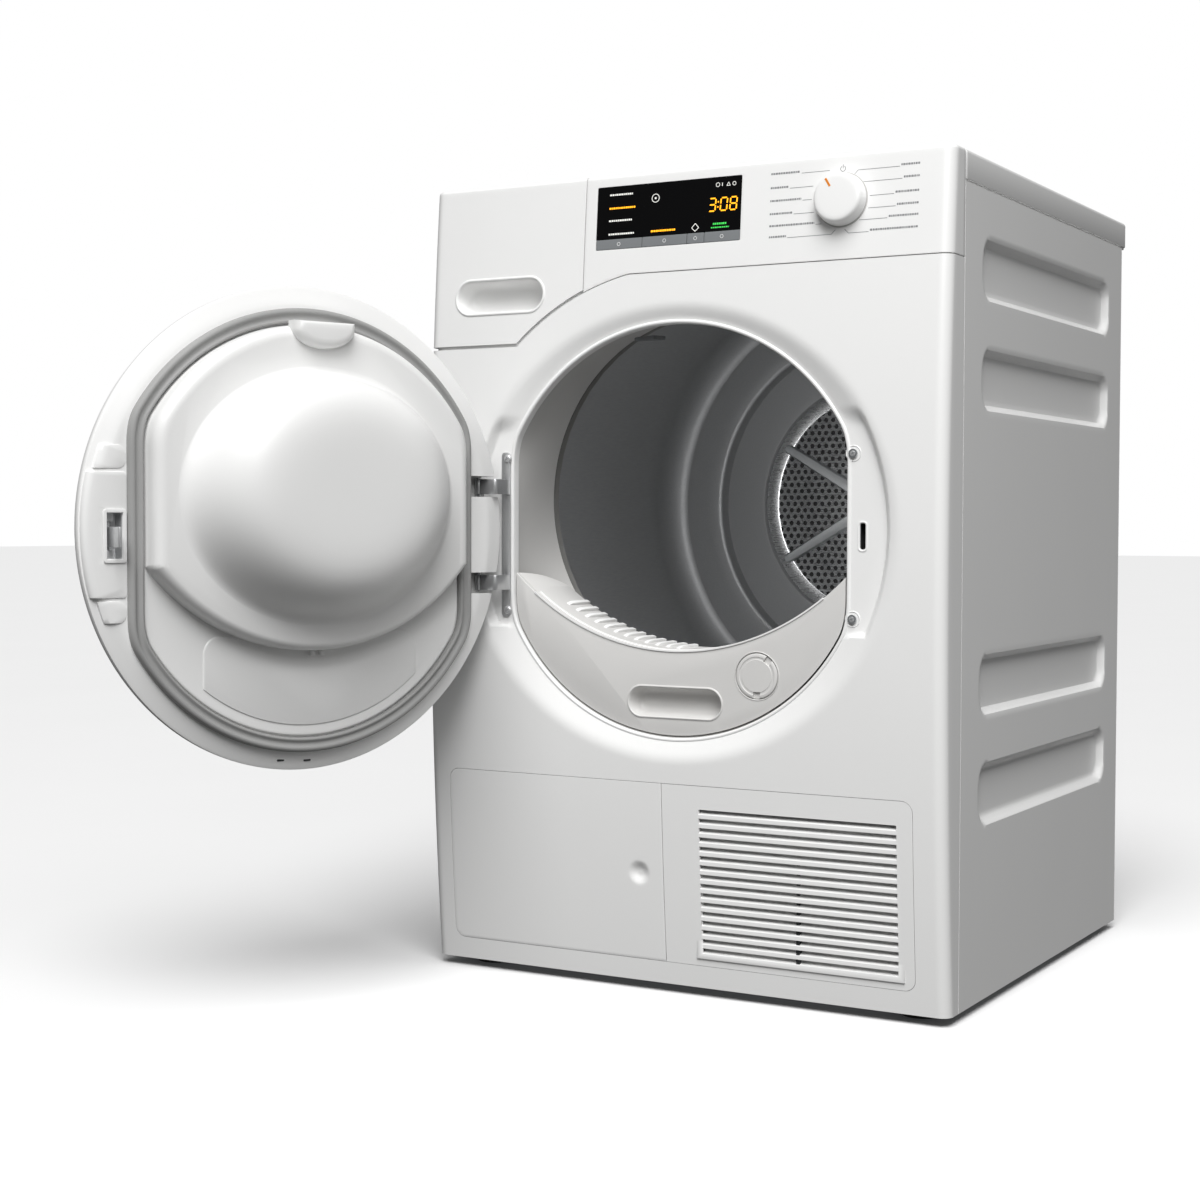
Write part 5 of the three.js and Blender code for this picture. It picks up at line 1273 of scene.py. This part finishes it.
def make_filter():
    grip = (-52, 55, 289.0, 319.0, 14.9)
    cover = filter_slice("filter_cover_plate", 0, -293, -289)
    soften(cover, 0.9, 3, 50)
    cut(
        cover,
        prism("grip_cut", rounded(*grown(grip, 1.5, 0)[:5]), -300, -280),
        prism("cap_cut", circle(24.6, CAP_X, CAP_Z, 96), -300, -284),
    )
    put(cover, "filter", FILTER_ABS, ["filter_cover"], 35)
    edge_loops = []
    for g, y in (
        (1.9, -289.5), (1.9, -292.4), (2.4, -293.2), (1.8, -293.8), (0.8, -293.9), (0.1, -293.4),
        (-0.6, -291.8), (-1.2, -288), (-2.4, -279.5), (-4.2, -276.4), (-7.5, -275.2), (-9.5, -275.1)
    ):
        edge_loops.append(at_y(rounded(*grown(grip, g, 0)[:5], 16), y))
    back = [at_y(rounded(*grown(grip, 1.9, 0)[:5], 16), -273.4)]
    put(rings("filter_grip_pocket", back + edge_loops), "filter", FILTER_ABS, [], 40)
    seat = [
        (24.9, -289), (24.9, -293.1), (24.5, -293.6), (23.9, -293.4), (23.6, -292.4), (23.6, -284),
        (24.9, -284)
    ]
    put(
        turned("filter_cap_seat", seat, CAP_X, CAP_Z, 128, True), "filter", FILTER_ABS, [], 40,
    )
    cap = turned(
        "filter_cap_disc",
        [
            (0, -288.6), (22.9, -288.6), (22.9, -292.9), (22.5, -293.6), (21.6, -294), (19.5, -294),
            (19, -293.5), (17, -293.5), (16.5, -293.9), (0, -294)
        ],
        CAP_X, CAP_Z, 128, False
    )
    cut(cap, bar("notch_low", (91.2, -297, 310), (98.8, -291.6, 319)))
    notch = bar("notch_high", (-3.8, -297, 16), (3.8, -291.6, 26))
    t = math.radians(-38)
    notch.data.transform(Matrix.Translation((0.095, 0, 0.335)) @ Matrix.Rotation(-t, 4, "Y"))
    cut(cap, notch)
    put(cap, "cap", FILTER_ABS, ["filter_cap"], 35)
    cassette = filter_slice("filter_cassette_box", 0.4, -288.4, -212)
    cut(
        cassette, prism("grip_clear", rounded(*grown(grip, 3, 0)[:5]), -300, -271.5),
        prism("cap_clear", circle(27, CAP_X, CAP_Z, 64), -300, -281)
    )
    cut(cassette, bar("airway", (-45, -261, 200), (45, -227.3, 340)))
    put(soften(cassette, 0.8, 2, 60), "filter", FILTER_ABS, ["filter_cassette"], 35)
    for i, (radius, y) in enumerate(((269.2, -294.1), (268.6, -283.5))):
        arc = [math.radians(a) for a in span(-90 - 38.2, -90 + 38.2, 0.6)]
        loops = []
        for t in arc:
            c, s = math.cos(t), math.sin(t)
            section = [(0, 0), (1.5, 0), (1.9, 0.5), (1.9, 1.5), (0, 1.5)]
            loops.append([((radius + a) * c, y + b, CREST_Z + (radius + a) * s) for a, b in section])
        put(rings("filter_edge_line_%d" % (i + 1), loops), "filter", WHITE_ABS, [], 40)
    for i in range(12):
        t = math.radians(-90 - 3 - i * 2.75)
        c, s = math.cos(t), math.sin(t)
        section = [
            (-0.4, -256), (-2.4, -250), (-3.0, -240), (-3.0, -216), (-2.2, -212.4), (2, -212.4), (2, -256)
        ]
        sides = []
        for across in (-2.2, 2.2):
            sides.append(
                [
                    ((270 + a) * c - across * s, y, CREST_Z + (270 + a) * s + across * c) for a,
                    y in section
                ]
            )
        put(
            soften(rings("lint_frame_rib_%02d" % (i + 1), sides), 0.7), "filter", WHITE_ABS, [], 40,
        )


def make_drum():
    t = 1.6
    outside = [
        (202, -193), (204.5, -194.2), (207.5, -193.4), (209, -190.5), (286, -151), (286, 198),
        (285.4, 206), (283.6, 213.6), (280.2, 220.6), (275.4, 227), (268.4, 232.8), (258, 238)
    ]
    inside = [
        (258, 238 - t), (262.5, 235.4), (268, 231.6), (274, 225.8), (278.6, 219.6), (282, 212.8),
        (283.8, 205.4), (284.4, 198), (284.4, -150.2), (207.8, -189.2), (206.4, -191.2), (204.4, -192.4),
        (202, -191.6)
    ]
    put(
        turned("drum_shell_rolled", outside + inside, 0, DRUM_Z, 288, True), "drum", DRUM_STEEL,
        ["drum_shell"], 35
    )
    front = [
        (258.2, 236.5), (230, 236.5), (214, 237.4), (210.4, 238.6), (208.6, 241), (207.6, 250.4),
        (206.2, 252.2), (203.6, 252.4), (158, 252.4), (154.8, 252.8), (153.4, 254.4), (152.6, 255.6)
    ]
    back = [
        (152.6, 260.8), (154, 257.6), (156.5, 254.6), (204.4, 254.3), (207.6, 253.6), (209.4, 251.6),
        (210.6, 242), (212.4, 240.2), (216, 239.2), (231, 238), (258.2, 237.8)
    ]
    put(
        turned("drum_rear_wall_pressed", front + back, 0, DRUM_Z, 256, True), "drum", DRUM_STEEL,
        ["drum_rear_wall"], 35
    )
    pitch, hole = 9.5, 3.05
    points, faces = [], []
    rows = range(-18, 19)
    for row in rows:
        for col in range(-17, 18):
            cx = (col + 0.5 * (row % 2)) * pitch
            cz = row * pitch * math.sqrt(3) / 2
            away = math.hypot(cx, cz)
            if away > 141 or away < 26:
                continue
            base = len(points)
            for k in range(12):
                angle = math.radians(30 * k)
                reach = pitch / 2 / math.cos(math.radians(30)) if k % 2 else pitch / 2
                points.append(
                    (cx + reach * math.cos(angle), 259.4, DRUM_Z + cz + reach * math.sin(angle))
                )
            for k in range(12):
                angle = math.radians(30 * k)
                points.append((cx + hole * math.cos(angle), 259.4, DRUM_Z + cz + hole * math.sin(angle)))
            for k in range(12):
                j = (k + 1) % 12
                faces.append((base + k, base + j, base + 12 + j, base + 12 + k))
    plate = solid("drum_perforated_plate", points, faces)
    shell = plate.modifiers.new("thickness", "SOLIDIFY")
    shell.thickness = 1.4 * MM
    shell.offset = 0
    bake_modifiers(plate)
    put(plate, "drum", DISC_STEEL, ["drum_perforated_disc"], 35)
    # A black disc just behind the punched plate: painted shade that the holes show, where the drum has only shade
    # behind them.
    shade_behind_holes = [(0, 261.4), (150, 261.4), (150.4, 261.8), (150, 262.2), (0, 262.2)]
    put(
        turned("drum_disc_painted_shade", shade_behind_holes, 0, DRUM_Z, 96, False), "drum", BLACK_PAINT_AND_SHADE, [], 35,
    )
    ring = [(152.2, 257.0), (137.5, 257.0), (136.4, 257.5), (136.4, 258.2), (152.2, 260.6)]
    put(turned("drum_disc_rim", ring, 0, DRUM_Z, 256, True), "drum", DISC_STEEL, [], 35)
    hub = turned(
        "drum_spider_hub",
        [
            (0, 258), (34, 258), (35, 256.6), (35, 253.6), (33.4, 251.6), (30, 250.8), (26, 250.6),
            (24.4, 249.6), (23, 247.6), (20, 246.6), (11.5, 246.4), (10.6, 247.4), (8.4, 247.6),
            (7.8, 246), (0, 245.6)
        ],
        0, DRUM_Z, 128, False
    )
    put(hub, "drum", CHROME, ["drum_spider"], 35)
    for i in range(6):
        t0 = math.radians(30 + 60 * i)
        c, s = math.cos(t0), math.sin(t0)
        loops = []
        for along, half, top in (
            (24, 8.6, 250.4), (60, 7.9, 251.6), (110, 7.2, 253.2), (140, 6.6, 254.6), (146, 5.4, 256.4)
        ):
            section = [
                (-half, 258.2), (-half + 0.9, top + 1.4), (-half + 2.4, top), (-1.6, top + 0.5),
                (1.6, top + 0.5), (half - 2.4, top), (half - 0.9, top + 1.4), (half, 258.2)
            ]
            loops.append(
                [(along * c - across * s, y, DRUM_Z + along * s + across * c) for across, y in section]
            )
        put(rings("drum_spider_arm_%d" % (i + 1), loops), "drum", CAST_ALU, [], 35)


make_door_shell()
make_door_seal()
make_door_liner()
make_latch()
make_hinge()
make_collar()
make_filter()
make_drum()

# ------------------------------------------------------------------ parts kept from the frame
for name, slot_name in {p["node"]: p["material_slot"] for p in frame["record"]["subparts"]}.items():
    part = nodes[name]
    part.data.materials.clear()
    part.data.materials.append(SLOT_FINISH[slot_name])
